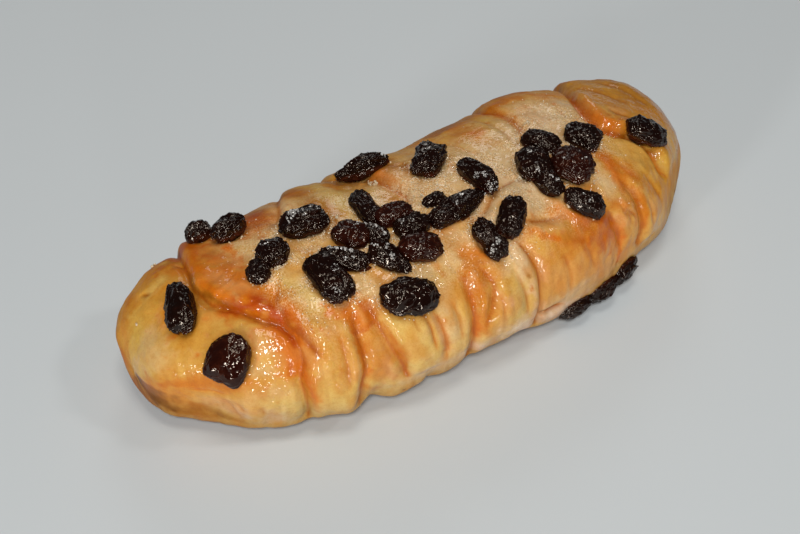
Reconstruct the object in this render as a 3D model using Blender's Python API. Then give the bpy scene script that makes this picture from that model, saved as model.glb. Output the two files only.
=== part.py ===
"""Raisin bread: one folded, baked loaf with plump raisins pressed into its crust.

All sizes are in millimetres; the last step turns them into metres.  X runs along the loaf, the
-Y side is its near side, Z is up and the loaf rests on Z = 0.  A place on the crust is given by
its distance along X and by its girth: 0 on the crest, -1 half way down the near side, +1 half
way down the far side and +-2 under the loaf.
"""

import math
from dataclasses import dataclass

import bmesh
import bpy
import numpy as np

MM = 0.001

# The loaf's overall form.
LENGTH = 179.0
WIDTH = 70.6
HEIGHT = 41.8
WAIST_SHARE = 0.36            # height of the widest line, as a share of the height
TOP_POWER = 2.25              # superellipse power of the section above the waist
BELLY_POWER = 3.0             # and below it
LEFT_POWER = 2.9              # bluntness of the left end seen from above
RIGHT_POWER = 2.75
LEFT_CUT = 0.17               # share that the near corner of the left end is pulled in
LEFT_CUT_AT = -84.0
LEFT_CUT_REACH = 8.0
CREST_POWER = 2.5             # bluntness of the ends seen from the side
SOLE_POWER = 6.0
CURVE = (-0.5, 10.1, -0.4)    # sideways run of the centre line: linear, square, cubic
SOLE_CUT = 0.9                # this much of the rounded sole is flattened
TIP_FADE = 0.02               # share of the length over which relief fades at each tip
GIRTH_MM = 50.0               # mean length of one unit of girth

# Mesh fineness.
RINGS = 84
SEGMENTS = 44
RAISIN_RINGS = 6
RAISIN_SEGMENTS = 9

GAP = 0.3                     # clearance between a raisin and what it touches
NEIGHBOUR_REACH = 1.1         # raisins nearer than this share of their lengths are fitted


@dataclass(frozen=True)
class Fold:
    """A crease where one flap of dough lies on another."""

    path: tuple               # (along, girth) from the far side to the near side
    depth: float              # of the crease itself
    lip: float                # rise of the flap, on the +X side; negative for the -X side
    width: float = 2.2
    spread: float = 9.0


@dataclass(frozen=True)
class Swell:
    """A soft bulge, or a hollow where the height is negative."""

    along: float
    girth: float
    height: float
    reach_along: float
    reach_girth: float


@dataclass(frozen=True)
class Raisin:
    """One raisin: its place on the crust, its heading and its size."""

    along: float
    girth: float
    turn: float               # degrees from +X towards the far side
    length: float
    width: float
    height: float
    sunk: float = 2.0         # how deep it lies in the crust
    taper: float = 0.0        # how much narrower the far end is
    pinch: float = 0.0        # depth of a waist
    waist: float = 0.0        # where the waist is, from -1 to 1 along it
    bend: float = 0.0         # how far both ends turn to the left of its heading
    square: float = 0.15      # 0 for an oval outline, 1 for a nearly square one


FOLDS = (
    Fold(((-60, 1.35), (-62, 0.95), (-64, 0.55), (-67, 0.3), (-70, 0.08), (-69, -0.1),
          (-65.5, -0.2), (-62, -0.31), (-58, -0.39), (-56.5, -0.5), (-57, -0.64),
          (-59.5, -0.8), (-59, -1.0), (-58, -1.4)), 1.4, 1.4),
    Fold(((-52, -0.16), (-56, -0.28), (-56.5, -0.42), (-54.5, -0.55), (-53, -0.68)), 0.9, 0.9),
    Fold(((-41, -0.45), (-42.5, -0.62), (-43, -0.83), (-45, -1.0), (-46, -1.25)), 1.2, -0.8),
    Fold(((-36, -0.42), (-36.5, -0.56), (-35.5, -0.7), (-34.5, -0.81), (-32.5, -0.95),
          (-32, -1.1)), 1.2, 0.9),
    Fold(((-22, -0.62), (-20.5, -0.74), (-20, -0.9), (-21, -1.05)), 0.6, 0.5),
    Fold(((-9, -0.5), (-9.6, -0.66), (-10.5, -0.85), (-11.5, -1.05), (-12, -1.4)), 1.3, 0.8),
    Fold(((-5, -0.52), (-2.5, -0.65), (-5, -0.78), (-9, -0.92)), 1.0, 0.9),
    Fold(((8, -0.48), (10.5, -0.58), (11.6, -0.7), (11, -0.85), (10, -1.05), (9.5, -1.3)),
         1.1, -0.9),
    Fold(((12, -0.42), (17, -0.46), (22, -0.49), (27, -0.5)), 0.9, -0.8),
    Fold(((39, -0.58), (41.5, -0.7), (42.5, -0.83), (42, -0.98)), 1.0, 0.8),
    Fold(((48, -0.48), (51.5, -0.62), (52, -0.76), (51.5, -0.9), (50, -1.1)), 1.0, 0.9),
    Fold(((64, 1.35), (66, 0.9), (65, 0.55), (62, 0.3), (58.5, 0.12), (56, -0.05),
          (56, -0.15), (59, -0.22), (63, -0.3), (66, -0.38), (66.8, -0.48), (67, -0.6),
          (68.5, -0.75)), 1.7, 1.3),
    Fold(((1, -0.33), (7, -0.28), (12.5, -0.22), (20, -0.2), (25, -0.26)), 1.0, -0.9),
    Fold(((9, -1.1), (15, -1.13), (21, -1.12)), 1.2, -1.2, 2.0, 5.0),
    Fold(((-20, 1.1), (-18, 0.75), (-17, 0.5), (-10, 0.2), (-8, 0.02), (-10, -0.1)), 0.9, 0.7),
    Fold(((-26, 1.2), (-27, 0.9), (-30, 0.62), (-38, 0.3), (-44, 0.16)), 0.8, 0.8),
    Fold(((38, 0.9), (36, 0.6), (35, 0.42), (36.5, 0.28), (36, 0.14), (33.5, 0.02)), 0.8, 0.4),
)

SWELLS = (
    Swell(45, 0.55, 1.6, 11, 0.4),
    Swell(17, 0.5, -0.9, 12, 0.35),
    Swell(-27, 0.5, 1.2, 8, 0.3),
    Swell(-45, 0.5, 0.5, 8, 0.3),
    Swell(64, 0.5, -1.3, 3, 0.35),
    Swell(-68, -1.25, -0.9, 2, 0.2),
    Swell(-55, -1.5, -1.6, 5, 0.25),
    Swell(-48, -1.25, 0.8, 4, 0.25),
    Swell(-41, -1.3, -3.0, 4.5, 0.28),
    Swell(-24.5, -1.3, -1.2, 2.5, 0.25),
    Swell(-9, -1.35, -2.4, 6, 0.28),
    Swell(4, -1.3, -2.0, 8, 0.28),
    Swell(-70, 0.6, 2.0, 10, 0.4),
    Swell(-79, -1.0, -1.5, 6, 0.4),
    Swell(78, -0.95, -1.9, 9, 0.4),
    Swell(82, 0.2, 1.2, 7, 0.5),
    Swell(72, 0.4, -0.6, 7, 0.3),
    Swell(15, -0.3, 1.0, 9, 0.16),
    Swell(-50, -0.12, 0.8, 9, 0.2),
    Swell(30, -0.7, 1.0, 8, 0.25),
    Swell(-27, -0.85, 0.9, 5, 0.3),
    Swell(0, -0.85, 0.8, 6, 0.25),
    Swell(-76, -0.75, 0.6, 6, 0.25),
)

RAISINS = (
    Raisin(-75.2, -0.03, 76, 16.2, 8.6, 6.5, taper=0.15),
    Raisin(-72.5, -0.515, 57, 12.9, 11.0, 7, taper=0.2, square=0.35),
    Raisin(-49, -0.01, 60, 9.4, 9.1, 6.5),
    Raisin(-55, -0.08, 80, 7.6, 6.6, 5.5),
    Raisin(-57.3, 0.46, 70, 8.2, 6.6, 7.0, 1.5, taper=0.55),
    Raisin(-52.1, 0.31, 0, 9.8, 7.8, 7, 1.6),
    Raisin(-36.6, 0.1, -17, 13.9, 10.4, 7, square=0.25),
    Raisin(-11, 0.33, -8, 16.4, 7.0, 7, taper=-0.15, pinch=0.3, waist=-0.62),
    Raisin(-20.4, 0.02, 84, 15.2, 6.4, 5.5, square=0.3),
    Raisin(-16.5, -0.1, -4, 11.2, 6.9, 6, square=0.6),
    Raisin(-3.8, -0.11, 0, 6.8, 4.4, 4.4, square=0.5),
    Raisin(1.7, -0.21, 7, 15.4, 7.6, 6, taper=0.35, square=0.35),
    Raisin(-14.7, -0.205, 0, 10.8, 7.6, 6, square=0.3),
    Raisin(-5.6, -0.225, 0, 9.2, 6.2, 6, square=0.2),
    Raisin(11, -0.11, -85, 15.2, 6.8, 6.5, bend=-1.0),
    Raisin(3.9, 0.123, 38, 14.4, 9.2, 7.5, taper=-0.1, square=0.5),
    Raisin(-29.1, -0.105, -60, 10.2, 8.6, 6.5, square=0.4),
    Raisin(-24.2, -0.15, -60, 9.2, 6.0, 5.5),
    Raisin(-16.7, -0.325, -25, 11.6, 7.9, 6.5, square=0.5),
    Raisin(-35.2, -0.215, -42, 14.2, 6.3, 6, square=0.5),
    Raisin(-41.5, -0.28, -80, 15.9, 9.5, 7, square=0.35),
    Raisin(-25.1, -0.31, -58, 13.2, 6.6, 6, taper=0.4, square=0.4),
    Raisin(-26.5, -0.525, -23, 15.7, 10.0, 7.5, pinch=0.05, square=0.2),
    Raisin(1.7, -0.436, -84, 13.1, 7.4, 6.5, pinch=0.22, taper=-0.1),
    Raisin(10.3, -0.39, 41, 12.9, 7.9, 6.5, square=0.3),
    Raisin(34.6, -0.085, -56, 11.8, 7.2, 6, square=0.3),
    Raisin(27.3, -0.19, -20, 10.0, 11.8, 7, square=0.25),
    Raisin(27.2, -0.325, -76, 9.2, 6.9, 6, taper=0.2),
    Raisin(36.6, -0.295, -60, 12.4, 11.8, 7, square=0.3),
    Raisin(47.1, -0.17, -65, 11.2, 9.4, 6.5, taper=-0.1, square=0.35),
    Raisin(33.2, -0.5, -49, 12.8, 7.2, 6, taper=-0.15, square=0.4),
    Raisin(67.1, -0.355, -50, 13.0, 8.6, 6.5, taper=0.1, square=0.6),
    Raisin(25.0, -1.33, 0, 11.2, 7.0, 6.6, 3.2, square=0.4),
    Raisin(34.9, -1.33, 0, 12.6, 7.2, 6.6, 3.0, square=0.4),
    Raisin(44.6, -1.31, 4, 11, 7.0, 6.6, 3.0, taper=0.2, square=0.3),
)

CRUST_COLOUR = (0.72, 0.43, 0.16)
RAISIN_COLOUR = (0.035, 0.014, 0.011)


def loaf_form(along: np.ndarray, girth: np.ndarray) -> np.ndarray:
    """Points of the plain loaf, before folds and dimples."""
    share = np.clip(2.0 * along / LENGTH, -1.0, 1.0)
    angle = math.pi / 2 * (1.0 - girth)
    cosine = np.cos(angle)
    sine = np.sin(angle)
    upper = sine >= 0.0
    power = np.where(upper, TOP_POWER, BELLY_POWER)
    radius = (np.abs(cosine) ** power + np.abs(sine) ** power) ** (-1.0 / power)
    size = np.abs(share)
    end_power = np.where(share < 0.0, LEFT_POWER, RIGHT_POWER)
    plan = (1.0 - size ** end_power) ** (1.0 / end_power)
    corner = LEFT_CUT * np.exp(-((along - LEFT_CUT_AT) / LEFT_CUT_REACH) ** 2)
    plan = plan * np.where(cosine < 0.0, 1.0 - corner, 1.0)
    crest = (1.0 - size ** CREST_POWER) ** (1.0 / CREST_POWER)
    sole = (1.0 - size ** SOLE_POWER) ** (1.0 / SOLE_POWER)
    centre = CURVE[0] * share + CURVE[1] * share ** 2 + CURVE[2] * share ** 3
    waist = HEIGHT * WAIST_SHARE
    depth = np.where(upper, (HEIGHT - waist) * crest, waist * sole)
    return np.stack([share * LENGTH / 2,
                     centre + WIDTH / 2 * plan * radius * cosine,
                     waist + depth * radius * sine], -1)


def even_steps(curve: np.ndarray, weight: np.ndarray, shares: np.ndarray) -> np.ndarray:
    """Fractions of a curve's samples that lie at even steps of its weighted length."""
    steps = np.linalg.norm(np.diff(curve, axis=0), axis=1) * weight
    length = np.concatenate([[0.0], np.cumsum(steps)])
    return np.interp(shares * length[-1], length, np.linspace(0.0, 1.0, len(length)))


def ring_places(shares: np.ndarray) -> np.ndarray:
    """Distances along the loaf of rings at even steps over its shoulder."""
    turn = np.linspace(0.0, math.pi, 721)
    along = -LENGTH / 2 * np.cos(turn)
    curve = loaf_form(along, np.full_like(along, -0.6))
    place = even_steps(curve, np.ones(720), shares)
    return -LENGTH / 2 * np.cos(math.pi * place)


def girth_places(shares: np.ndarray) -> np.ndarray:
    """Girths of points at even steps around the middle section, sparser on the sole."""
    girth = np.linspace(-2.0, 2.0, 721)
    curve = loaf_form(np.zeros_like(girth), girth)
    middle = 0.5 * (girth[1:] + girth[:-1])
    weight = np.where(np.abs(middle) > 1.45, 0.45, 1.0)
    return 4.0 * even_steps(curve, weight, shares) - 2.0


def fold_relief(fold: Fold, along: np.ndarray, girth: np.ndarray) -> np.ndarray:
    """Rise of the crust near one fold."""
    here = np.stack([along, girth * GIRTH_MM], -1)
    path = np.array(fold.path) * (1.0, GIRTH_MM)
    spans = np.linalg.norm(np.diff(path, axis=0), axis=1)
    total = spans.sum()
    nearest = np.full(len(here), np.inf)
    side = np.ones(len(here))
    run = np.zeros(len(here))
    start = 0.0
    for head, tail, span in zip(path[:-1], path[1:], spans):
        way = (tail - head) / span
        rel = here - head
        step = np.clip(rel @ way, 0.0, span)
        gap = np.linalg.norm(rel - step[:, None] * way, axis=1)
        turn = way[0] * rel[:, 1] - way[1] * rel[:, 0]
        closer = gap < nearest
        nearest = np.where(closer, gap, nearest)
        side = np.where(closer, np.sign(turn), side)
        run = np.where(closer, start + step, run)
        start += span
    fade = np.clip(np.minimum(run, total - run) / min(6.0, 0.4 * total), 0.0, 1.0)
    fade = fade * fade * (3.0 - 2.0 * fade)
    rise = (1.0 - np.exp(-nearest / 1.8)) * np.exp(-nearest / fold.spread)
    raised = side * np.sign(fold.lip) > 0.0
    step = np.where(raised, rise, -0.45 * rise) * abs(fold.lip)
    return fade * (step - fold.depth * np.exp(-(nearest / fold.width) ** 2))


def crust_relief(along: np.ndarray, girth: np.ndarray) -> np.ndarray:
    """Rise of the crust over the plain loaf from swells, folds and unevenness."""
    rise = 0.35 * np.sin(along / 7.0 + 1.3) * np.cos(girth * 4.1 + along / 23.0)
    rise += 0.25 * np.sin(along / 4.1 + girth * 6.0)
    for swell in SWELLS:
        reach = ((along - swell.along) / swell.reach_along) ** 2
        reach = reach + ((girth - swell.girth) / swell.reach_girth) ** 2
        rise += swell.height * np.exp(-reach)
    for fold in FOLDS:
        rise += fold_relief(fold, along, girth)
    off_tip = np.clip((1.0 - np.abs(2.0 * along / LENGTH)) / TIP_FADE, 0.0, 1.0)
    return rise * off_tip * off_tip * (3.0 - 2.0 * off_tip)


def crust_frame(along: float, girth: float) -> tuple:
    """Point, heading along the loaf, heading to the far side and normal of the crust."""
    step = 0.5
    spots = np.array([(along, girth), (along - step, girth), (along + step, girth),
                      (along, girth - step / GIRTH_MM), (along, girth + step / GIRTH_MM)])
    points = loaf_form(spots[:, 0], spots[:, 1])
    forward = points[2] - points[1]
    forward /= np.linalg.norm(forward)
    normal = np.cross(forward, points[4] - points[3])
    normal /= np.linalg.norm(normal)
    lift = crust_relief(spots[:1, 0], spots[:1, 1])[0]
    return points[0] + lift * normal, forward, np.cross(normal, forward), normal


def dimple(raisin: Raisin, points: np.ndarray) -> np.ndarray:
    """Hollow that a raisin presses into the crust, with the rim of dough around it."""
    origin, forward, across, normal = crust_frame(raisin.along, raisin.girth)
    turn = math.radians(raisin.turn)
    heading = math.cos(turn) * forward + math.sin(turn) * across
    beside = np.cross(normal, heading)
    rel = points - origin
    reach = np.sqrt((rel @ heading / (raisin.length / 2 + 0.6)) ** 2
                    + (rel @ beside / (raisin.width / 2 + 0.6)) ** 2)
    near = np.abs(rel @ normal) < 9.0
    hollow = -raisin.sunk * np.clip(1.0 - reach ** 2.0, 0.0, 1.0)
    rim = 0.45 * np.exp(-((reach - 1.2) / 0.22) ** 2)
    return np.where(near, hollow + rim, 0.0)


def new_object(name: str, colour: tuple, roughness: float) -> bpy.types.Object:
    """The active object, named and given its own material."""
    piece = bpy.context.active_object
    piece.name = name
    piece.data.name = name
    material = bpy.data.materials.new(name + "_material")
    material.use_nodes = True
    shader = material.node_tree.nodes["Principled BSDF"]
    shader.inputs["Base Color"].default_value = (*colour, 1.0)
    shader.inputs["Roughness"].default_value = roughness
    shader.inputs["Metallic"].default_value = 0.0
    material.diffuse_color = (*colour, 1.0)
    piece.data.materials.append(material)
    piece.data.shade_smooth()
    return piece


def sphere_angles(mesh: bpy.types.Mesh) -> tuple:
    """Polar share (0 to 1) and turn (-pi to pi) of each vertex of a unit sphere."""
    place = read_points(mesh)
    place /= np.linalg.norm(place, axis=1)[:, None]
    polar = np.arccos(np.clip(-place[:, 2], -1.0, 1.0)) / math.pi
    return polar, np.arctan2(place[:, 1], place[:, 0])


def read_points(mesh: bpy.types.Mesh) -> np.ndarray:
    """Vertex places as an array."""
    flat = np.empty(len(mesh.vertices) * 3)
    mesh.vertices.foreach_get("co", flat)
    return flat.reshape(-1, 3)


def read_normals(mesh: bpy.types.Mesh) -> np.ndarray:
    """Vertex normals as an array."""
    flat = np.empty(len(mesh.vertices) * 3)
    mesh.vertex_normals.foreach_get("vector", flat)
    return flat.reshape(-1, 3)


def write_points(mesh: bpy.types.Mesh, points: np.ndarray) -> None:
    """Move the vertices."""
    mesh.vertices.foreach_set("co", points.ravel())
    mesh.update()


def face_outward(mesh: bpy.types.Mesh) -> None:
    """Split a closed mesh into triangles that all point out."""
    shell = bmesh.new()
    shell.from_mesh(mesh)
    bmesh.ops.triangulate(shell, faces=shell.faces, quad_method="SHORT_EDGE")
    bmesh.ops.recalc_face_normals(shell, faces=shell.faces)
    shell.to_mesh(mesh)
    shell.free()
    mesh.update()


def make_bread() -> bpy.types.Object:
    """The loaf with its folds, swells, dimples and flat sole."""
    bpy.ops.mesh.primitive_uv_sphere_add(segments=SEGMENTS, ring_count=RINGS, radius=1.0)
    bread = new_object("bread", CRUST_COLOUR, 0.45)
    mesh = bread.data
    polar, turn = sphere_angles(mesh)
    along = ring_places(polar)
    girth = girth_places((turn / math.pi + 1.0) / 2.0)
    write_points(mesh, loaf_form(along, girth))
    face_outward(mesh)
    points = read_points(mesh)
    normals = read_normals(mesh)
    rise = crust_relief(along, girth)
    for raisin in RAISINS:
        rise += dimple(raisin, points)
    points += normals * rise[:, None]
    points[:, 2] = np.maximum(points[:, 2], SOLE_CUT)
    write_points(mesh, points)
    return bread


def make_raisin(name: str, raisin: Raisin, order: int) -> bpy.types.Object:
    """One whole raisin, wrinkled along its length, lying in its dimple."""
    bpy.ops.mesh.primitive_uv_sphere_add(segments=RAISIN_SEGMENTS, ring_count=RAISIN_RINGS,
                                         radius=1.0)
    piece = new_object(name, RAISIN_COLOUR, 0.25)
    polar, turn = sphere_angles(piece.data)
    run = -np.cos(math.pi * polar)
    girdle = np.sin(math.pi * polar) ** 0.85
    wrinkle = 1.0 + 0.07 * np.cos(3.0 * turn + 2.4 * order + 1.5 * run) * girdle
    aside = girdle * wrinkle * np.cos(turn)
    power = 2.0 + 2.2 * raisin.square
    blunt = np.hypot(run, aside)
    blunt = blunt / (np.abs(run) ** power + np.abs(aside) ** power) ** (1.0 / power)
    run = run * blunt
    aside = aside * blunt
    girth_share = 1.0 - raisin.taper * run
    girth_share *= 1.0 - raisin.pinch * np.exp(-((run - raisin.waist) / 0.3) ** 2)
    bend = raisin.bend * (run ** 2 - 0.3)
    local = np.stack([run * raisin.length / 2,
                      aside * girth_share * raisin.width / 2 + bend,
                      girdle * wrinkle * np.sin(turn) * girth_share * raisin.height / 2], -1)
    origin, forward, across, normal = crust_frame(raisin.along, raisin.girth)
    heading_turn = math.radians(raisin.turn)
    heading = math.cos(heading_turn) * forward + math.sin(heading_turn) * across
    beside = np.cross(normal, heading)
    centre = origin + normal * (raisin.height / 2 - raisin.sunk)
    points = centre + local[:, :1] * heading + local[:, 1:2] * beside + local[:, 2:] * normal
    write_points(piece.data, points)
    face_outward(piece.data)
    return piece


def inflated(piece: bpy.types.Object) -> bpy.types.Object:
    """A cutter one gap larger than the piece."""
    cutter = piece.copy()
    cutter.data = piece.data.copy()
    cutter.name = piece.name + "_cutter"
    cutter.hide_render = True
    cutter.display_type = "WIRE"
    bpy.context.collection.objects.link(cutter)
    points = read_points(cutter.data) + GAP * read_normals(cutter.data)
    write_points(cutter.data, points)
    return cutter


def cut(piece: bpy.types.Object, cutter: bpy.types.Object) -> None:
    """Take the cutter's volume out of the piece."""
    modifier = piece.modifiers.new("fit", "BOOLEAN")
    modifier.operation = "DIFFERENCE"
    modifier.solver = "EXACT"
    modifier.object = cutter
    bpy.context.view_layer.objects.active = piece
    bpy.ops.object.modifier_apply(modifier=modifier.name)


def keep_main_body(mesh: bpy.types.Mesh) -> None:
    """Drop the scraps that a cut leaves beside the main body."""
    shell = bmesh.new()
    shell.from_mesh(mesh)
    bmesh.ops.remove_doubles(shell, verts=shell.verts, dist=0.05)
    bmesh.ops.dissolve_degenerate(shell, edges=shell.edges, dist=0.02)
    bmesh.ops.triangulate(shell, faces=shell.faces)
    unseen = set(shell.verts)
    bodies = []
    while unseen:
        stack = [unseen.pop()]
        body = set(stack)
        while stack:
            for edge in stack.pop().link_edges:
                for vert in edge.verts:
                    if vert in unseen:
                        unseen.remove(vert)
                        body.add(vert)
                        stack.append(vert)
        bodies.append(body)
    bodies.sort(key=len)
    for scrap in bodies[:-1]:
        bmesh.ops.delete(shell, geom=list(scrap), context="VERTS")
    bmesh.ops.recalc_face_normals(shell, faces=shell.faces)
    shell.to_mesh(mesh)
    shell.free()
    mesh.update()


def make_raisins(bread: bpy.types.Object) -> list:
    """All raisins, each fitted to the crust and to the raisins laid before it."""
    crust_cutter = inflated(bread)
    laid = []
    for order, raisin in enumerate(RAISINS):
        piece = make_raisin(f"raisin_{order + 1:02d}", raisin, order)
        cutter = inflated(piece)
        centre = crust_frame(raisin.along, raisin.girth)[0]
        cut(piece, crust_cutter)
        for other_centre, other_length, other_cutter in laid:
            reach = NEIGHBOUR_REACH * (raisin.length + other_length) / 2
            if np.linalg.norm(centre - other_centre) < reach:
                cut(piece, other_cutter)
        keep_main_body(piece.data)
        laid.append((centre, raisin.length, cutter))
    for piece in [crust_cutter] + [item[2] for item in laid]:
        bpy.data.objects.remove(piece)
    return [item for item in bpy.data.objects if item.name.startswith("raisin_")]


def settle(pieces: list) -> None:
    """Put the middle of the whole part's base at the origin and turn millimetres to metres."""
    cloud = np.concatenate([read_points(piece.data) for piece in pieces])
    low = cloud.min(axis=0)
    high = cloud.max(axis=0)
    shift = np.array([(low[0] + high[0]) / 2, (low[1] + high[1]) / 2, low[2]])
    for piece in pieces:
        write_points(piece.data, (read_points(piece.data) - shift) * MM)
        piece.data.set_sharp_from_angle(angle=math.radians(60))


def main() -> None:
    """Clear the scene and build the part."""
    for item in list(bpy.data.objects):
        bpy.data.objects.remove(item)
    bread = make_bread()
    raisins = make_raisins(bread)
    settle([bread] + raisins)


main()
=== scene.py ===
"""Looks of the raisin bread: a folded, glazed loaf with wrinkled raisins and sugar grains on it.

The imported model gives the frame.  The loaf, the raisins and the grains are modelled here at full
detail in millimetres, with the same form as the solids, and then moved into that frame.  A place
on the crust is (along, girth): millimetres along the loaf, and 0 on the crest, -1 half way down
the near side, +1 half way down the far side and +-2 under the loaf.
"""

import logging
import math
import random
from collections.abc import Callable
from dataclasses import dataclass, field
from enum import Enum

import bpy
import numpy as np
from mathutils import Euler, Matrix, Vector, noise


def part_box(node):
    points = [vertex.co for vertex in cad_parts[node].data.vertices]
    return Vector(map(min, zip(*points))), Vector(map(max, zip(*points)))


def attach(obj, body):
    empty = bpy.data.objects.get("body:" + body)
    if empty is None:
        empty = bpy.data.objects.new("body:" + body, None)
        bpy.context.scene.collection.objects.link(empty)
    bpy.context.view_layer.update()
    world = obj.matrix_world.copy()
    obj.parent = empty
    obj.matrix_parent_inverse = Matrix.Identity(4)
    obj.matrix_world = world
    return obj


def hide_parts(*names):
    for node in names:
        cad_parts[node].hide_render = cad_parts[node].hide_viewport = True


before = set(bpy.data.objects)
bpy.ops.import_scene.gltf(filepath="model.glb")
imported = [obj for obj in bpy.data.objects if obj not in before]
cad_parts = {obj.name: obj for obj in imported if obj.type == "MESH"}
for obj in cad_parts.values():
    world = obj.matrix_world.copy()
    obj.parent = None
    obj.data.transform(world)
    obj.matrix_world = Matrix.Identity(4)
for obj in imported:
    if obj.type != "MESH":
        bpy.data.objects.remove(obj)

log = logging.getLogger("raisin_bread")

MM = 0.001
BODY = "root"
GIRTH_MM = 50.0               # mean length of one unit of girth
SOLE_CUT = 0.9                # the loaf's flat sole lies this high in its own millimetres
FULL_CHANNEL = 255.0
DISPLAY_GAMMA = 2.2
CURVE_STEPS = 2880            # pieces that a curve is cut in to measure its length
NOWHERE_NEAR = 9.0            # more than any raisin reaches, in millimetres or in its half sizes
TINY = 1e-9                   # keeps a division from failing


class Tint(Enum):
    """Colours of the crust as a lit camera sees them, red, green and blue from 0 to 255."""

    SUGAR = (240, 205, 160)
    CREAM = (218, 180, 126)
    BUTTER = (214, 174, 92)
    STRAW = (204, 162, 76)
    GOLD = (210, 156, 74)
    HONEY = (192, 130, 40)
    TAN = (202, 138, 68)
    PINK = (220, 162, 104)
    AMBER = (190, 108, 20)
    ORANGE = (202, 104, 10)
    EMBER = (168, 64, 0)
    RUST = (156, 76, 8)
    BROWN = (140, 84, 22)
    BARK = (92, 52, 18)

    def linear(self) -> np.ndarray:
        """The colour in linear light, from 0 to 1."""
        return (np.array(self.value) / FULL_CHANNEL) ** DISPLAY_GAMMA


(SUGAR, CREAM, BUTTER, STRAW, GOLD, HONEY, TAN, PINK, AMBER, ORANGE, EMBER, RUST, BROWN,
 BARK) = Tint


@dataclass(frozen=True)
class Fold:
    """A crease where one flap of dough lies on another."""

    path: tuple               # (along, girth) from the far side to the near side
    depth: float              # of the crease itself
    lip: float                # rise of the flap, on the +X side; negative for the -X side
    width: float = 1.6
    spread: float = 9.0
    glow: float = 0.6         # how strongly the crease is coloured, by pooled glaze and by painted shade on the side under the lip
    tint: Tint = AMBER
    reach: float = 1.6        # how far the colour runs from the crease


@dataclass(frozen=True)
class Swell:
    """A soft bulge, or a hollow where the height is negative."""

    along: float
    girth: float
    height: float
    reach_along: float
    reach_girth: float


@dataclass(frozen=True)
class Stroke:
    """A brush stroke of colour along a line on the crust."""

    tint: Tint
    path: tuple
    reach: float              # half width
    strength: float = 0.8

    @property
    def edge(self) -> float:
        """How abruptly it ends at its half width: a thin stroke is the crisper."""
        return 3.0 if self.reach < 1.3 else 2.0


@dataclass(frozen=True)
class Crumple:
    """A small patch of crust puckered into fine glossy ridges."""

    along: float
    girth: float
    turn: float               # heading of the ridges, degrees from +X towards the far side
    reach: float
    height: float = 0.35
    wave: float = 0.9         # from one ridge to the next


@dataclass(frozen=True)
class Glitter:
    """A patch of crust whose glaze is grainy, so that it glitters."""

    along: float
    girth: float
    reach: float
    strength: float = 1.0


@dataclass(frozen=True)
class Raisin:
    """One raisin: its place on the crust, its heading and its size."""

    along: float
    girth: float
    turn: float               # degrees from +X towards the far side
    length: float
    width: float
    height: float
    sunk: float = 2.0         # how deep it lies in the crust
    taper: float = 0.0        # how much narrower the far end is
    pinch: float = 0.0        # depth of a waist
    waist: float = 0.0        # where the waist is, from -1 to 1 along it
    bend: float = 0.0         # how far both ends turn to the left of its heading
    square: float = 0.15      # 0 for an oval outline, 1 for a nearly square one
    wrinkle: float = 1.0      # depth of its folds of skin
    grain: float = 1.0        # strength of its fine crinkles
    ruddy: bool = False       # red-brown instead of near black


@dataclass(frozen=True)
class Frost:
    """Sugar grains that stick to the top of one raisin."""

    raisin: int               # its number, from 1
    spots: tuple              # shares of its half length and half width
    count: int                # grains at each spot
    reach: float
    size: float = 0.6


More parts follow.
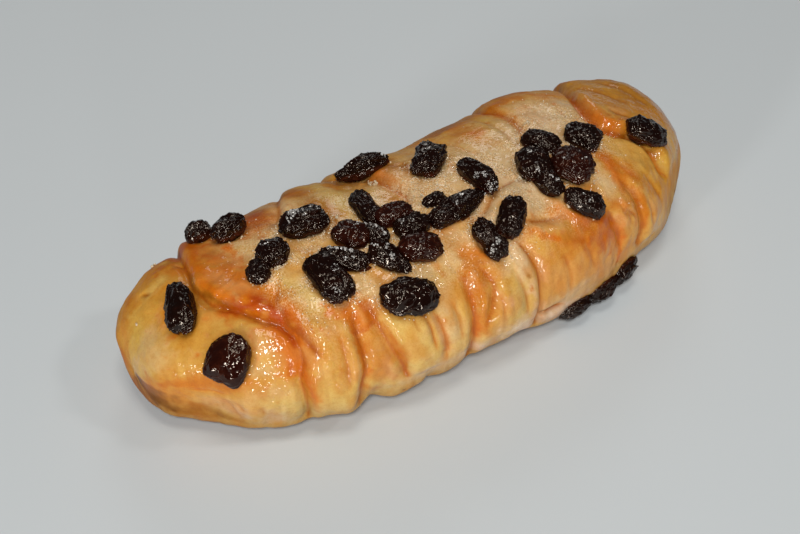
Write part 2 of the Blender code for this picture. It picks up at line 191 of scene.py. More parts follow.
FOLDS = (
    Fold(((-60, 1.35), (-62, 0.95), (-64, 0.55), (-67, 0.3), (-70, 0.08), (-69, -0.1),
          (-65.5, -0.2), (-62, -0.31), (-58, -0.39), (-56.5, -0.5), (-57, -0.64),
          (-59.5, -0.8), (-59, -1.0), (-58, -1.4)), 1.4, 1.4, glow=0.0),
    Fold(((-52, -0.16), (-56, -0.28), (-56.5, -0.42), (-54.5, -0.55), (-53, -0.68)), 0.9, 0.9,
         glow=0.0),
    Fold(((-41, -0.45), (-42.5, -0.62), (-43, -0.83), (-45, -1.0), (-46, -1.25)), 1.2, -0.8,
         glow=0.5, reach=2.5),
    Fold(((-36, -0.42), (-36.5, -0.56), (-35.5, -0.7), (-34.5, -0.81), (-32.5, -0.95),
          (-32, -1.1)), 1.2, 0.9, glow=0.4, reach=2.0),
    Fold(((-22, -0.62), (-20.5, -0.74), (-20, -0.9), (-21, -1.05)), 0.6, 0.5, glow=0.4),
    Fold(((-9, -0.5), (-9.6, -0.66), (-10.5, -0.85), (-11.5, -1.05), (-12, -1.4)), 1.3, 0.8,
         glow=0.5, reach=2.5),
    Fold(((-5, -0.52), (-2.5, -0.65), (-5, -0.78), (-9, -0.92)), 1.0, 0.9, glow=0.4),
    Fold(((8, -0.48), (10.5, -0.58), (11.6, -0.7), (11, -0.85), (10, -1.05), (9.5, -1.3)),
         1.1, -0.9, glow=0.55, reach=2.5),
    Fold(((12, -0.42), (17, -0.46), (22, -0.49), (27, -0.5)), 0.9, -0.8, glow=0.4, reach=2.5),
    Fold(((39, -0.58), (41.5, -0.7), (42.5, -0.83), (42, -0.98)), 1.0, 0.8, glow=0.5),
    Fold(((48, -0.48), (51.5, -0.62), (52, -0.76), (51.5, -0.9), (50, -1.1)), 1.0, 0.9,
         glow=0.5, reach=2.0),
    Fold(((64, 1.35), (66, 0.9), (65, 0.55), (62, 0.3), (58.5, 0.12), (56, -0.05),
          (56, -0.15), (59, -0.22), (63, -0.3), (66, -0.38), (66.8, -0.48), (67, -0.6),
          (68.5, -0.75)), 1.7, 1.3, glow=0.35, reach=1.2),
    Fold(((1, -0.33), (7, -0.28), (12.5, -0.22), (20, -0.2), (25, -0.26)), 1.0, -0.9,
         glow=0.15),
    Fold(((9, -1.1), (15, -1.13), (21, -1.12)), 1.2, -1.2, 2.0, 5.0),
    Fold(((-20, 1.1), (-18, 0.75), (-17, 0.5), (-10, 0.2), (-8, 0.02), (-10, -0.1)), 0.9, 0.7,
         glow=0.3),
    Fold(((-26, 1.2), (-27, 0.9), (-30, 0.62), (-38, 0.3), (-44, 0.16)), 0.8, 0.8, glow=0.3),
    Fold(((38, 0.9), (36, 0.6), (35, 0.42), (36.5, 0.28), (36, 0.14), (33.5, 0.02)), 0.8, 0.4,
         glow=0.5),
)

CREASES = (
    Fold(((-27.7, -0.6), (-27.2, -0.74)), 0.35, 0.15, 0.5, 2.0, 0.7, reach=0.5),
    Fold(((-24.8, -0.58), (-23.8, -0.72), (-23.6, -0.9)), 0.5, 0.25, 0.6, 2.5, 0.7, reach=0.6),
    Fold(((-60, -0.62), (-62, -0.78)), 0.5, 0.2, 0.6, 2.5, 0.8, ORANGE, 0.6),
    Fold(((-79.5, 0.38), (-78, 0.27)), 0.5, 0.2, 0.6, 2.0, 0.7, BROWN, 0.6),
    Fold(((-69, 0.4), (-66.5, 0.3)), 0.4, 0.2, 0.6, 2.0, 0.6, BROWN, 0.6),
    Fold(((62.5, -0.05), (65, -0.16), (68, -0.23)), 0.5, 0.35, 0.7, 3.0, 0.6, BROWN, 0.8),
    Fold(((46, -0.66), (49.5, -0.77)), 0.5, 0.3, 0.6, 2.5, 0.7, reach=0.7),
    Fold(((43, -0.62), (46.5, -0.72), (47, -0.82)), 0.4, 0.3, 0.6, 2.5, 0.4, reach=0.6),
    Fold(((54.5, -0.68), (55.8, -0.8), (55, -0.95)), 0.6, 0.3, 0.8, 3.0, 0.5, HONEY, 0.9),
    Fold(((57, -0.5), (60.5, -0.66), (61.5, -0.85)), 0.5, 0.3, 0.9, 4.0, 0.3, HONEY, 1.0),
    Fold(((-47, -0.55), (-47.5, -0.75), (-48.5, -0.95)), 0.6, 0.3, 1.1, 5.0, 0.3, reach=1.0),
    Fold(((4, -0.62), (5.5, -0.8), (5, -0.98)), 0.55, 0.3, 1.1, 5.0, 0.2, reach=1.0),
    Fold(((-16, -0.6), (-15, -0.75), (-15.5, -0.92)), 0.5, 0.3, 1.1, 5.0, 0.25, reach=1.0),
    Fold(((20, -0.66), (21.5, -0.85), (21, -1.0)), 0.45, 0.3, 1.1, 5.0, 0.15, reach=1.0),
    Fold(((27, -0.6), (29, -0.75), (30, -0.92)), 0.45, 0.3, 1.1, 5.0, 0.2, reach=1.0),
    Fold(((-75, -0.9), (-73, -1.08)), 0.4, 0.2, 0.8, 3.0, 0.3, reach=0.8),
    Fold(((-70, -0.95), (-69, -1.15)), 0.4, 0.2, 0.8, 3.0, 0.3, reach=0.8),
    Fold(((51, 0.14), (49.8, 0.02)), 0.3, 0.2, 0.6, 2.5, 0.5, reach=0.6),
    Fold(((14, 0.35), (17, 0.14), (18, -0.04)), 0.35, 0.3, 1.2, 5.0, 0.1),
    Fold(((28, 0.42), (30, 0.18), (29.5, -0.04)), 0.35, -0.3, 1.2, 5.0, 0.1),
    Fold(((-22.5, 0.42), (-19.5, 0.22)), 0.4, 0.2, 0.9, 3.0, 0.3),
    Fold(((63.5, 0.3), (69, 0.08), (72, -0.12)), 0.2, 0.25, 1.0, 4.0, 0.35, BROWN),
    Fold(((73, 0.32), (77, 0.06), (79, -0.18)), 0.2, 0.25, 1.0, 4.0, 0.35, BROWN),
    Fold(((-84, -0.84), (-79, -0.82), (-75, -0.84)), 0.3, -0.3, 0.8, 4.0, 0.5, ORANGE, 2.0),
    Fold(((-77, -0.88), (-75.5, -1.05), (-74, -1.2)), 0.3, 0.3, 0.9, 4.0, 0.2, HONEY, 1.0),
    Fold(((-38, -0.84), (-36.3, -1.0)), 0.3, 0.2, 0.7, 2.5, 0.2, reach=0.6),
    Fold(((-3.2, -0.66), (-2.2, -0.78), (-3, -0.92)), 0.4, 0.25, 0.7, 2.5, 0.35, reach=0.6),
)

SWELLS = (
    Swell(45, 0.55, 1.6, 11, 0.4),
    Swell(17, 0.5, -0.9, 12, 0.35),
    Swell(-27, 0.5, 1.2, 8, 0.3),
    Swell(-45, 0.5, 0.5, 8, 0.3),
    Swell(64, 0.5, -1.3, 3, 0.35),
    Swell(-68, -1.25, -0.9, 2, 0.2),
    Swell(-55, -1.5, -1.6, 5, 0.25),
    Swell(-48, -1.25, 0.8, 4, 0.25),
    Swell(-41, -1.3, -3.0, 4.5, 0.28),
    Swell(-24.5, -1.3, -1.2, 2.5, 0.25),
    Swell(-9, -1.35, -2.4, 6, 0.28),
    Swell(4, -1.3, -2.0, 8, 0.28),
    Swell(-70, 0.6, 2.0, 10, 0.4),
    Swell(-79, -1.0, -1.5, 6, 0.4),
    Swell(78, -0.95, -1.9, 9, 0.4),
    Swell(82, 0.2, 1.2, 7, 0.5),
    Swell(72, 0.4, -0.6, 7, 0.3),
    Swell(15, -0.3, 1.0, 9, 0.16),
    Swell(-50, -0.12, 0.8, 9, 0.2),
    Swell(30, -0.7, 1.0, 8, 0.25),
    Swell(-27, -0.85, 0.9, 5, 0.3),
    Swell(0, -0.85, 0.8, 6, 0.25),
    Swell(-76, -0.75, 0.6, 6, 0.25),
)

CRUMPLES = (
    Crumple(-34.5, -0.6, -65, 2.4, 0.45),
    Crumple(-3.5, -0.45, 15, 3.4, 0.45),
    Crumple(0.0, -0.47, -30, 2.4, 0.4),
    Crumple(61, -0.22, 25, 2.8, 0.5, 1.0),
    Crumple(65, -0.33, -10, 2.0, 0.35),
    Crumple(16, -0.47, 20, 3.0, 0.35, 0.8),
    Crumple(-65, -0.22, -20, 3.2, 0.3),
    Crumple(-62.5, -0.04, 35, 4.0, 0.35, 1.3),
    Crumple(-58.5, -0.5, -75, 2.6, 0.4),
    Crumple(46, -0.68, -50, 3.2, 0.35, 1.1),
    Crumple(29, -0.48, -60, 1.8, 0.35),
    Crumple(-28, 0.29, 20, 3.0, 0.35),
    Crumple(-0.5, -0.05, -60, 1.6, 0.3, 0.8),
    Crumple(42.5, -0.72, -70, 2.0, 0.35),
    Crumple(-38.5, -0.43, -40, 2.6, 0.35),
    Crumple(38, 0.11, 0, 2.0, 0.35),
    Crumple(-81, -0.57, -60, 3.2, 0.12, 1.5),
)

GLITTERS = (
    Glitter(-66, -0.88, 7), Glitter(-65, -0.6, 5, 0.6), Glitter(-81, -0.57, 4),
    Glitter(-52.5, -0.6, 5), Glitter(-51, -0.84, 4), Glitter(-38, -0.42, 3),
    Glitter(-2, -0.5, 5, 0.6), Glitter(36, -0.5, 5, 0.5),
    Glitter(-33, -0.62, 2.5), Glitter(-6, -0.36, 6), Glitter(16, -0.46, 4),
    Glitter(-28, 0.3, 3), Glitter(-5, 0.08, 5, 0.7), Glitter(38, 0.12, 4),
    Glitter(40, 0.2, 4), Glitter(54, 0.08, 5), Glitter(61, -0.22, 3),
    Glitter(68, -0.6, 4, 0.8), Glitter(24, 0.0, 8, 0.4), Glitter(-61, -0.56, 3, 0.4),
    Glitter(18, -0.38, 7, 0.8), Glitter(46, -0.66, 4, 0.8), Glitter(-47, -0.62, 5, 0.8),
    Glitter(-84, -0.2, 4, 0.5), Glitter(-60, 0.02, 6, 0.6), Glitter(75, -0.2, 3, 0.7),
    Glitter(-76, -1.0, 5, 0.6), Glitter(62, -0.68, 4, 0.5),
)

RAISINS = (
    Raisin(-75.2, -0.03, 76, 16.2, 8.6, 6.5, taper=0.15, wrinkle=0.9),
    Raisin(-72.5, -0.515, 57, 12.9, 11.0, 7, taper=0.2, square=0.35, wrinkle=0.45, grain=0.5,
           ruddy=True),
    Raisin(-49, -0.01, 60, 9.4, 9.1, 6.5),
    Raisin(-55, -0.08, 80, 7.6, 6.6, 5.5),
    Raisin(-57.3, 0.46, 70, 8.2, 6.6, 7.0, 1.5, taper=0.55),
    Raisin(-52.1, 0.31, 0, 9.8, 7.8, 7, 1.6),
    Raisin(-36.6, 0.1, -17, 13.9, 10.4, 7, square=0.25),
    Raisin(-11, 0.33, -8, 16.4, 7.0, 7, taper=-0.15, pinch=0.3, waist=-0.62, wrinkle=1.2),
    Raisin(-20.4, 0.02, 84, 15.2, 6.4, 5.5, square=0.3),
    Raisin(-16.5, -0.1, -4, 11.2, 6.9, 6, square=0.6, ruddy=True, wrinkle=0.7),
    Raisin(-3.8, -0.11, 0, 6.8, 4.4, 4.4, square=0.5),
    Raisin(1.7, -0.21, 7, 15.4, 7.6, 6, taper=0.35, square=0.35, wrinkle=1.2, grain=1.3),
    Raisin(-14.7, -0.205, 0, 10.8, 7.6, 6, square=0.3),
    Raisin(-5.6, -0.225, 0, 9.2, 6.2, 6, square=0.2),
    Raisin(11, -0.11, -85, 15.2, 6.8, 6.5, bend=-1.0),
    Raisin(3.9, 0.123, 38, 14.4, 9.2, 7.5, taper=-0.1, square=0.5, wrinkle=1.2),
    Raisin(-29.1, -0.105, -60, 10.2, 8.6, 6.5, square=0.4, ruddy=True, wrinkle=0.7),
    Raisin(-24.2, -0.15, -60, 9.2, 6.0, 5.5),
    Raisin(-16.7, -0.325, -25, 11.6, 7.9, 6.5, square=0.5, ruddy=True, wrinkle=0.6),
    Raisin(-35.2, -0.215, -42, 14.2, 6.3, 6, square=0.5, wrinkle=1.2),
    Raisin(-41.5, -0.28, -80, 15.9, 9.5, 7, square=0.35, wrinkle=0.8),
    Raisin(-25.1, -0.31, -58, 13.2, 6.6, 6, taper=0.4, square=0.4),
    Raisin(-26.5, -0.525, -23, 15.7, 10.0, 7.5, pinch=0.05, square=0.2, wrinkle=0.8,
           grain=0.4),
    Raisin(1.7, -0.436, -84, 13.1, 7.4, 6.5, pinch=0.22, taper=-0.1, grain=1.3),
    Raisin(10.3, -0.39, 41, 12.9, 7.9, 6.5, square=0.3),
    Raisin(34.6, -0.085, -56, 11.8, 7.2, 6, square=0.3),
    Raisin(27.3, -0.19, -20, 10.0, 11.8, 7, square=0.25, wrinkle=0.8),
    Raisin(27.2, -0.325, -76, 9.2, 6.9, 6, taper=0.2),
    Raisin(36.6, -0.295, -60, 12.4, 11.8, 7, square=0.3, grain=1.5, ruddy=True),
    Raisin(47.1, -0.17, -65, 11.2, 9.4, 6.5, taper=-0.1, square=0.35, wrinkle=0.8),
    Raisin(33.2, -0.5, -49, 12.8, 7.2, 6, taper=-0.15, square=0.4, wrinkle=0.8),
    Raisin(67.1, -0.355, -50, 13.0, 8.6, 6.5, taper=0.1, square=0.6, wrinkle=0.7),
    Raisin(25.0, -1.33, 0, 11.2, 7.0, 6.6, 3.2, square=0.4),
    Raisin(34.9, -1.33, 0, 12.6, 7.2, 6.6, 3.0, square=0.4),
    Raisin(44.6, -1.31, 4, 11, 7.0, 6.6, 3.0, taper=0.2, square=0.3),
)

FROSTS = (
    Frost(7, ((-0.35, 0.1), (-0.2, 0.3)), 14, 1.6, 0.7),
    Frost(7, ((0.45, 0.3), (0.2, -0.1), (0.7, 0.1)), 3, 1.0, 0.5),
    Frost(20, ((-0.6, 0.45), (-0.3, 0.45), (0.0, 0.4), (0.25, 0.35)), 4, 0.6, 0.75),
    Frost(20, ((-0.5, -0.2), (0.4, -0.2), (0.1, -0.4)), 3, 0.6, 0.55),
    Frost(18, ((-0.5, 0.2), (0.0, 0.3), (0.6, 0.2)), 6, 0.8, 0.7),
    Frost(22, ((-0.7, 0.1), (-0.3, 0.4), (0.1, -0.2)), 4, 0.8, 0.7),
    Frost(15, ((0.1, -0.5), (0.3, -0.1), (0.8, 0.1), (0.75, -0.4)), 8, 1.2, 0.5),
    Frost(24, ((0.45, -0.5), (0.3, 0.1)), 6, 0.9, 0.6),
    Frost(12, ((-0.35, -0.1), (0.05, 0.3), (0.95, -0.2)), 3, 0.6, 0.6),
    Frost(27, ((-0.2, 0.3), (-0.2, -0.7)), 5, 0.7, 0.5),
    Frost(28, ((-0.2, 0.0), (0.2, 0.3)), 3, 0.6, 0.6),
    Frost(29, ((-0.5, -0.3), (0.3, 0.2), (0.0, 0.5)), 2, 0.6, 0.5),
    Frost(31, ((-0.3, 0.3), (0.0, 0.0)), 3, 0.6, 0.4),
    Frost(16, ((0.4, 0.3), (0.1, 0.0)), 4, 0.7, 0.5),
    Frost(8, ((0.85, -0.1),), 5, 0.8, 0.5),
    Frost(21, ((-0.1, 0.5), (0.1, 0.3), (0.6, -0.4), (0.7, -0.1)), 3, 0.8, 0.45),
    Frost(13, ((-0.5, 0.2), (0.1, 0.1)), 3, 0.8, 0.45),
    Frost(17, ((0.2, 0.3), (0.0, 0.6)), 3, 0.7, 0.5),
    Frost(3, ((0.1, 0.3),), 4, 0.8, 0.4),
)

BARE_SPOTS = (
    (-30, 0.12, 6), (-12, 0.24, 6), (-18.5, 0.26, 5), (-6, 0.26, 5), (-36, -0.1, 4),
    (-6, -0.42, 5), (24, -0.24, 2.5), (-42, 0.04, 4), (-12, 0.0, 3), (48.5, -0.42, 6),
    (-42, -0.47, 4), (-30, -0.36, 4), (24, 0.14, 5), (-48, -0.14, 3),
)

LUMPS = (
    (-11.5, 0.21, 1.6, 14), (0.0, -0.045, 0.8, 5), (-5.5, -0.055, 0.6, 4), (9.6, 0.12, 0.8, 5),
    (-28.2, 0.06, 0.7, 4), (21.5, -0.21, 1.2, 8), (28.6, -0.47, 0.8, 5), (37.5, 0.1, 0.9, 6),
    (-50, -0.09, 1.0, 7), (-70.5, 0.62, 0.8, 6), (-85, 0.2, 0.6, 4), (-19.5, -0.23, 0.7, 5),
)

STROKES = (
    # broad ground colours
    Stroke(STRAW, ((-89, -0.7), (-88, -0.2), (-86, 0.3)), 6, 0.8),
    Stroke(HONEY, ((-81, -0.3), (-76, 0.2), (-70, 0.5)), 8, 0.5),
    Stroke(CREAM, ((-46, 0.15), (-20, 0.12), (10, 0.0), (40, 0.05), (52, 0.1)), 14, 0.85),
    Stroke(CREAM, ((-46, -0.3), (-30, -0.42), (-10, -0.42), (10, -0.38), (24, -0.38)), 7, 0.7),
    Stroke(BUTTER, ((-62, -1.1), (-30, -0.9), (0, -0.9), (12, -0.8)), 10, 0.7),
    Stroke(TAN, ((14, -0.8), (24, -0.85), (38, -0.95)), 10, 0.85),
    Stroke(HONEY, ((60, 0.3), (72, 0.0), (78, -0.4), (74, -0.9)), 12, 0.8),
    Stroke(BROWN, ((68, 0.6), (80, 0.3), (86, -0.1), (86, -0.7)), 7, 0.5),
    # painted reflected light: the low near side made paler and creamier, as if lit from below
    Stroke(CREAM, ((-30, -1.08), (-10, -1.05), (10, -1.08), (24, -1.05)), 6, 0.5),
    Stroke(SUGAR, ((5, -0.22), (12, -0.28), (19, -0.32)), 4, 0.5),
    Stroke(CREAM, ((20, 0.0), (34, 0.1), (44, 0.1)), 6, 0.5),
    # painted shadow along the near side of raisin 8
    Stroke(BROWN, ((-19, 0.4), (-19, 0.26), (-12, 0.24), (-5, 0.24), (0, 0.14)), 3.2, 0.85),
    # painted shade between the raisins near along -30
    Stroke(BROWN, ((-32, 0.0), (-30, 0.05), (-30, 0.2)), 3.0, 0.7),
    Stroke(RUST, ((-50, 0.44), (-46, 0.32), (-41, 0.48)), 4.0, 0.6),
    Stroke(RUST, ((-67, 0.56), (-60, 0.5)), 4.0, 0.5),
    Stroke(RUST, ((-2, 0.14), (1, 0.12)), 2.5, 0.4),
    Stroke(RUST, ((-46, 0.26), (-49, 0.22)), 3.0, 0.5),
    # painted shadow along the near side of raisin 8
    Stroke(BARK, ((-19, 0.28), (-12, 0.26), (-5, 0.26)), 2.2, 0.4),
    # painted shadow on the far left tip
    Stroke(BARK, ((-90, -1.25), (-90, -1.0)), 3.0, 0.7),
    Stroke(STRAW, ((75, -0.48), (80, -0.66)), 4.5, 0.7),
    # painted reflected light: the low near side made paler, as if lit from below
    Stroke(CREAM, ((2, -1.0), (8, -1.12), (14, -1.2), (20, -1.2)), 4.0, 0.7),
    Stroke(HONEY, ((-44, 0.02), (-42, 0.0), (-36, -0.1)), 3.0, 0.5),
    Stroke(AMBER, ((-3, -0.48), (0, -0.5)), 3.0, 0.5),
    Stroke(ORANGE, ((-47, 0.24), (-43, 0.26)), 3.0, 0.5),
    Stroke(AMBER, ((22, 0.38), (32, 0.4), (42, 0.42)), 3.5, 0.75),
    Stroke(BARK, ((-50, 0.4), (-46, 0.3), (-41, 0.44)), 2.6, 0.5),
    Stroke(EMBER, ((-31, 0.42), (-29, 0.36)), 2.5, 0.6),
    Stroke(SUGAR, ((17, -0.12), (23, -0.34)), 3.0, 0.6),
    Stroke(SUGAR, ((41, 0.0), (45, 0.1)), 3.5, 0.6),
    Stroke(EMBER, ((-68, 0.56), (-62, 0.52)), 3.0, 0.6),
    # left end
    Stroke(AMBER, ((-88, -1.15), (-84, -0.85), (-76, -0.68)), 5, 0.6),
    # painted shadow along the lower edge of the left end
    Stroke(BROWN, ((-89, -1.2), (-86, -1.3), (-82, -1.3)), 5, 0.7),
    Stroke(CREAM, ((-73, -0.62), (-67, -0.66)), 3, 0.6),
    Stroke(CREAM, ((-86, -0.5), (-86, -0.2), (-85, 0.0)), 3, 0.5),
    Stroke(PINK, ((-79, -0.98), (-76, -1.1)), 3, 0.6),
    Stroke(CREAM, ((-75, -1.0), (-73, -1.15)), 2.4, 0.6),
    Stroke(ORANGE, ((-84, -0.76), (-79, -0.74), (-76, -0.78), (-73, -0.72)), 2.6, 0.75),
    Stroke(EMBER, ((-89, 0.3), (-86, 0.45), (-82, 0.5)), 3, 0.3),
    Stroke(AMBER, ((-82, 0.36), (-78, 0.26), (-74, 0.22)), 1.8, 0.5),
    Stroke(ORANGE, ((-79, -0.02), (-78, 0.06)), 2.0, 0.4),
    Stroke(CREAM, ((-72, -0.9), (-66, -0.84), (-66, -1.2)), 4, 0.65),
    Stroke(ORANGE, ((-84, -0.68), (-81.5, -0.77), (-77, -0.76)), 1.6, 0.7),
    Stroke(BUTTER, ((-78, 0.3), (-73, 0.3)), 2.5, 0.7),
    Stroke(BROWN, ((-68.5, 0.42), (-66, 0.45)), 2.2, 0.6),
    Stroke(ORANGE, ((-62, 0.38), (-63.5, 0.27)), 1.2, 0.7),
    Stroke(ORANGE, ((-80.3, -0.21), (-79.7, -0.2)), 1.2, 0.6),
    Stroke(GOLD, ((-82, -0.55), (-78, -0.9)), 5, 0.6),
    Stroke(TAN, ((-68, 0.15), (-72, 0.0), (-70, -0.2)), 2.6, 0.6),
    Stroke(BROWN, ((-70.5, 0.12), (-70.5, 0.0), (-69, -0.1)), 1.2, 0.2),
    Stroke(HONEY, ((-80, -0.75), (-72, -0.9), (-66, -0.8)), 7, 0.35),
    Stroke(AMBER, ((-67, 0.3), (-65, 0.12), (-62, -0.06), (-60, -0.24)), 5.0, 0.85),
    Stroke(ORANGE, ((-62, 0), (-59.5, -0.15), (-57.5, -0.3), (-56, -0.45), (-56, -0.6)), 4.0, 0.75),
    Stroke(ORANGE, ((-60, -0.42), (-60, -0.72)), 3.2, 0.75),
    Stroke(EMBER, ((-62.5, 0.48), (-60.5, 0.22), (-59.5, 0.08)), 4.0, 0.5),
    Stroke(AMBER, ((-54.5, -0.2), (-54, -0.38)), 2.8, 0.6),
    Stroke(PINK, ((-64.5, -0.04), (-62.8, -0.12)), 1.5, 0.35),
    Stroke(AMBER, ((-68, 0.05), (-66, -0.1), (-63, -0.2), (-60, -0.3)), 2.4, 0.8),
    Stroke(ORANGE, ((-67, 0.02), (-66, -0.24), (-61, -0.3), (-58.5, -0.42)), 2.2, 0.6),
    Stroke(ORANGE, ((-66, 0.16), (-64, 0.05), (-60.5, -0.2)), 2.4, 0.6),
    Stroke(BROWN, ((-68.6, -0.02), (-67.4, -0.12), (-65.3, -0.2), (-62, -0.33),
                   (-59, -0.385)), 0.8, 0.8),
    Stroke(EMBER, ((-66, -0.205), (-63.5, -0.23), (-61, -0.25)), 1.3, 0.85),
    Stroke(EMBER, ((-59.5, -0.22), (-58.3, -0.3), (-57.4, -0.38), (-57.3, -0.5),
                   (-58, -0.6), (-59.3, -0.66)), 2.0, 1.0),
    Stroke(ORANGE, ((-56, -0.42), (-55.6, -0.55), (-57, -0.68)), 1.6, 0.7),
    Stroke(EMBER, ((-55.8, -0.35), (-54.4, -0.5), (-53.4, -0.64)), 1.2, 0.85),
    Stroke(ORANGE, ((-58.5, -0.68), (-58.2, -0.82), (-57, -0.97)), 1.3, 0.9),
    Stroke(AMBER, ((-57.5, -0.95), (-57, -1.15)), 1.2, 0.6),
    Stroke(PINK, ((-56, -0.6), (-54, -0.75)), 1.8, 0.4),
    Stroke(ORANGE, ((-56, -0.13), (-53, -0.28)), 2.6, 0.55),
    Stroke(ORANGE, ((-59, -0.04), (-58, -0.14)), 1.6, 0.6),
    Stroke(BARK, ((-58.2, -0.15), (-57.4, -0.15)), 1.0, 0.45),
    Stroke(ORANGE, ((-56, 0.22), (-55.5, 0.14)), 1.0, 0.65),
    Stroke(EMBER, ((-63.8, -0.17), (-63.3, -0.17)), 0.8, 0.6),
    Stroke(PINK, ((-66, -0.42), (-63, -0.52), (-60.5, -0.62)), 3.2, 0.6),
    Stroke(PINK, ((-77, -0.95), (-72, -1.05)), 3.0, 0.4),
    Stroke(BUTTER, ((-64, -0.95), (-60.5, -1.15)), 4.0, 0.8),
    Stroke(BROWN, ((-83, -1.15), (-76, -1.27)), 2.6, 0.5),
    # between the left end and the middle
    Stroke(BUTTER, ((-52, -0.2), (-46, -0.4)), 4.0, 0.7),
    Stroke(AMBER, ((-50, 0.34), (-46, 0.34), (-42, 0.32)), 3.4, 0.8),
    Stroke(EMBER, ((-50, 0.42), (-46, 0.36), (-41, 0.4)), 4.0, 0.6),
    Stroke(AMBER, ((-38, -0.45), (-35.5, -0.5)), 2.2, 0.5),
    Stroke(HONEY, ((-30.5, -0.33), (-29.5, -0.38)), 2.0, 0.5),
    # painted shade between the raisins near along -30
    Stroke(BROWN, ((-31.5, 0.02), (-28.5, 0.0)), 2.2, 0.6),
    Stroke(AMBER, ((-31, 0.12), (-28, 0.15)), 2.0, 0.5),
    Stroke(BROWN, ((-34, 0.46), (-30, 0.43), (-26, 0.36)), 2.8, 0.8),
    Stroke(AMBER, ((-33, 0.4), (-27, 0.33)), 1.6, 0.5),
    Stroke(AMBER, ((-27, 0.13), (-25.6, 0.06)), 1.3, 0.6),
    Stroke(BUTTER, ((-24, 0.38), (-22.5, 0.08)), 4.0, 0.7),
    # painted shadow beside the left end of raisin 8
    Stroke(BROWN, ((-19.5, 0.34), (-18.5, 0.3)), 1.5, 0.5),
    Stroke(TAN, ((-43.6, 0.0), (-41, -0.16)), 1.5, 0.7),
    Stroke(AMBER, ((-45.5, -0.18), (-44.6, -0.26)), 1.1, 0.4),
    Stroke(STRAW, ((-22, -0.12), (-19.5, -0.21)), 1.6, 0.7),
    Stroke(TAN, ((-31, -0.3), (-28.5, -0.39)), 1.4, 0.6),
    Stroke(GOLD, ((-51, -0.52), (-49, -0.78)), 4.0, 0.6),
    Stroke(TAN, ((-47, -0.48), (-46.3, -0.85)), 2.8, 0.7),
    # orange patch and the smooth facet under it
    Stroke(TAN, ((-40.5, -0.68), (-39, -0.8), (-38.3, -0.95)), 3.6, 0.8),
    Stroke(TAN, ((-36.6, -0.64), (-35.8, -0.8)), 1.8, 0.6),
    Stroke(ORANGE, ((-42, -0.44), (-40, -0.52), (-39.5, -0.56)), 2.8, 0.75),
    Stroke(ORANGE, ((-42, -0.46), (-42, -0.58)), 1.5, 0.8),
    Stroke(EMBER, ((-37.8, -0.47), (-36.9, -0.56)), 1.5, 0.75),
    Stroke(EMBER, ((-42.2, -0.6), (-40, -0.6), (-37.2, -0.575)), 0.8, 0.7),
    # painted highlight: a pale spot of light in the orange patch
    Stroke(PINK, ((-39.5, -0.51), (-39.2, -0.55)), 0.9, 0.7),
    Stroke(PINK, ((-39, -0.39), (-37.6, -0.42)), 1.4, 0.5),
    Stroke(ORANGE, ((-42.6, -0.64), (-43.1, -0.75), (-43.6, -0.86), (-45, -0.98)), 0.9, 0.85),
    Stroke(AMBER, ((-35.2, -0.6), (-34.2, -0.7), (-33, -0.84), (-32.3, -0.95),
                   (-32, -1.05)), 0.7, 0.85),
    Stroke(PINK, ((-37.6, -0.85), (-36.4, -0.99)), 1.2, 0.6),
    Stroke(AMBER, ((-43.5, -1.0), (-41, -1.12)), 1.5, 0.5),
    Stroke(BUTTER, ((-31, -0.62), (-26, -0.74)), 3.6, 0.8),
    Stroke(ORANGE, ((-21, -0.69), (-20.4, -0.78), (-20.4, -0.92)), 0.8, 0.85),
    Stroke(PINK, ((-22.3, -0.67), (-21.6, -0.82)), 0.9, 0.6),
    Stroke(BARK, ((-33.1, -1.24), (-32.9, -1.26)), 0.6, 0.8),
    # middle
    Stroke(CREAM, ((-18, -0.55), (-17.5, -0.82)), 3.8, 0.65),
    Stroke(GOLD, ((-15, -0.5), (-12.5, -0.72)), 3.4, 0.6),
    Stroke(AMBER, ((-15.3, -0.43), (-14.6, -0.5)), 0.8, 0.5),
    Stroke(PINK, ((-9, -0.27), (-5, -0.36), (-2, -0.42)), 3.4, 0.55),
    Stroke(TAN, ((-10, -0.3), (-7, -0.42)), 3.0, 0.5),
    Stroke(AMBER, ((-9.6, -0.26), (-9.2, -0.29)), 1.1, 0.7),
    Stroke(ORANGE, ((-6.5, -0.45), (-3, -0.47), (-0.5, -0.51)), 1.8, 0.75),
    Stroke(AMBER, ((-8, -0.52), (-7.4, -0.7), (-8.3, -0.9)), 2.4, 0.75),
    Stroke(AMBER, ((-4.5, -0.52), (-3, -0.62)), 2.2, 0.7),
    Stroke(ORANGE, ((-10, -0.55), (-9.7, -0.66), (-10.2, -0.8), (-10.6, -0.96)), 0.8, 0.8),
    Stroke(TAN, ((-3, -0.74), (-3.6, -0.92)), 2.6, 0.7),
    Stroke(PINK, ((-3.2, -0.66), (-2.2, -0.78)), 1.1, 0.6),
    Stroke(BUTTER, ((4, -0.55), (6, -0.75), (3, -0.92)), 4.2, 0.5),
    Stroke(SUGAR, ((6, -0.42), (6.5, -0.64)), 4.0, 0.6),
    Stroke(BARK, ((7.3, -0.7), (7.6, -0.7)), 0.5, 0.9),
    Stroke(TAN, ((7.2, -0.66), (7.4, -0.68)), 1.2, 0.4),
    Stroke(PINK, ((9.6, -0.46), (12.1, -0.6), (12.6, -0.78)), 1.2, 0.7),
    Stroke(ORANGE, ((-8.3, 0.28), (-8.0, 0.16), (-9.2, 0.04)), 1.8, 0.8),
    Stroke(GOLD, ((-14.5, 0.14), (-11.5, 0.04)), 2.6, 0.7),
    Stroke(PINK, ((-6, 0.18), (-4, -0.02)), 3.6, 0.5),
    # painted shadow: a thin dark line cast by the band above this bulge
    Stroke(BROWN, ((-5, 0.27), (-2, 0.2), (-0.5, 0.16)), 0.6, 0.7),
    Stroke(HONEY, ((-3, 0.4), (3, 0.32)), 3.0, 0.6),
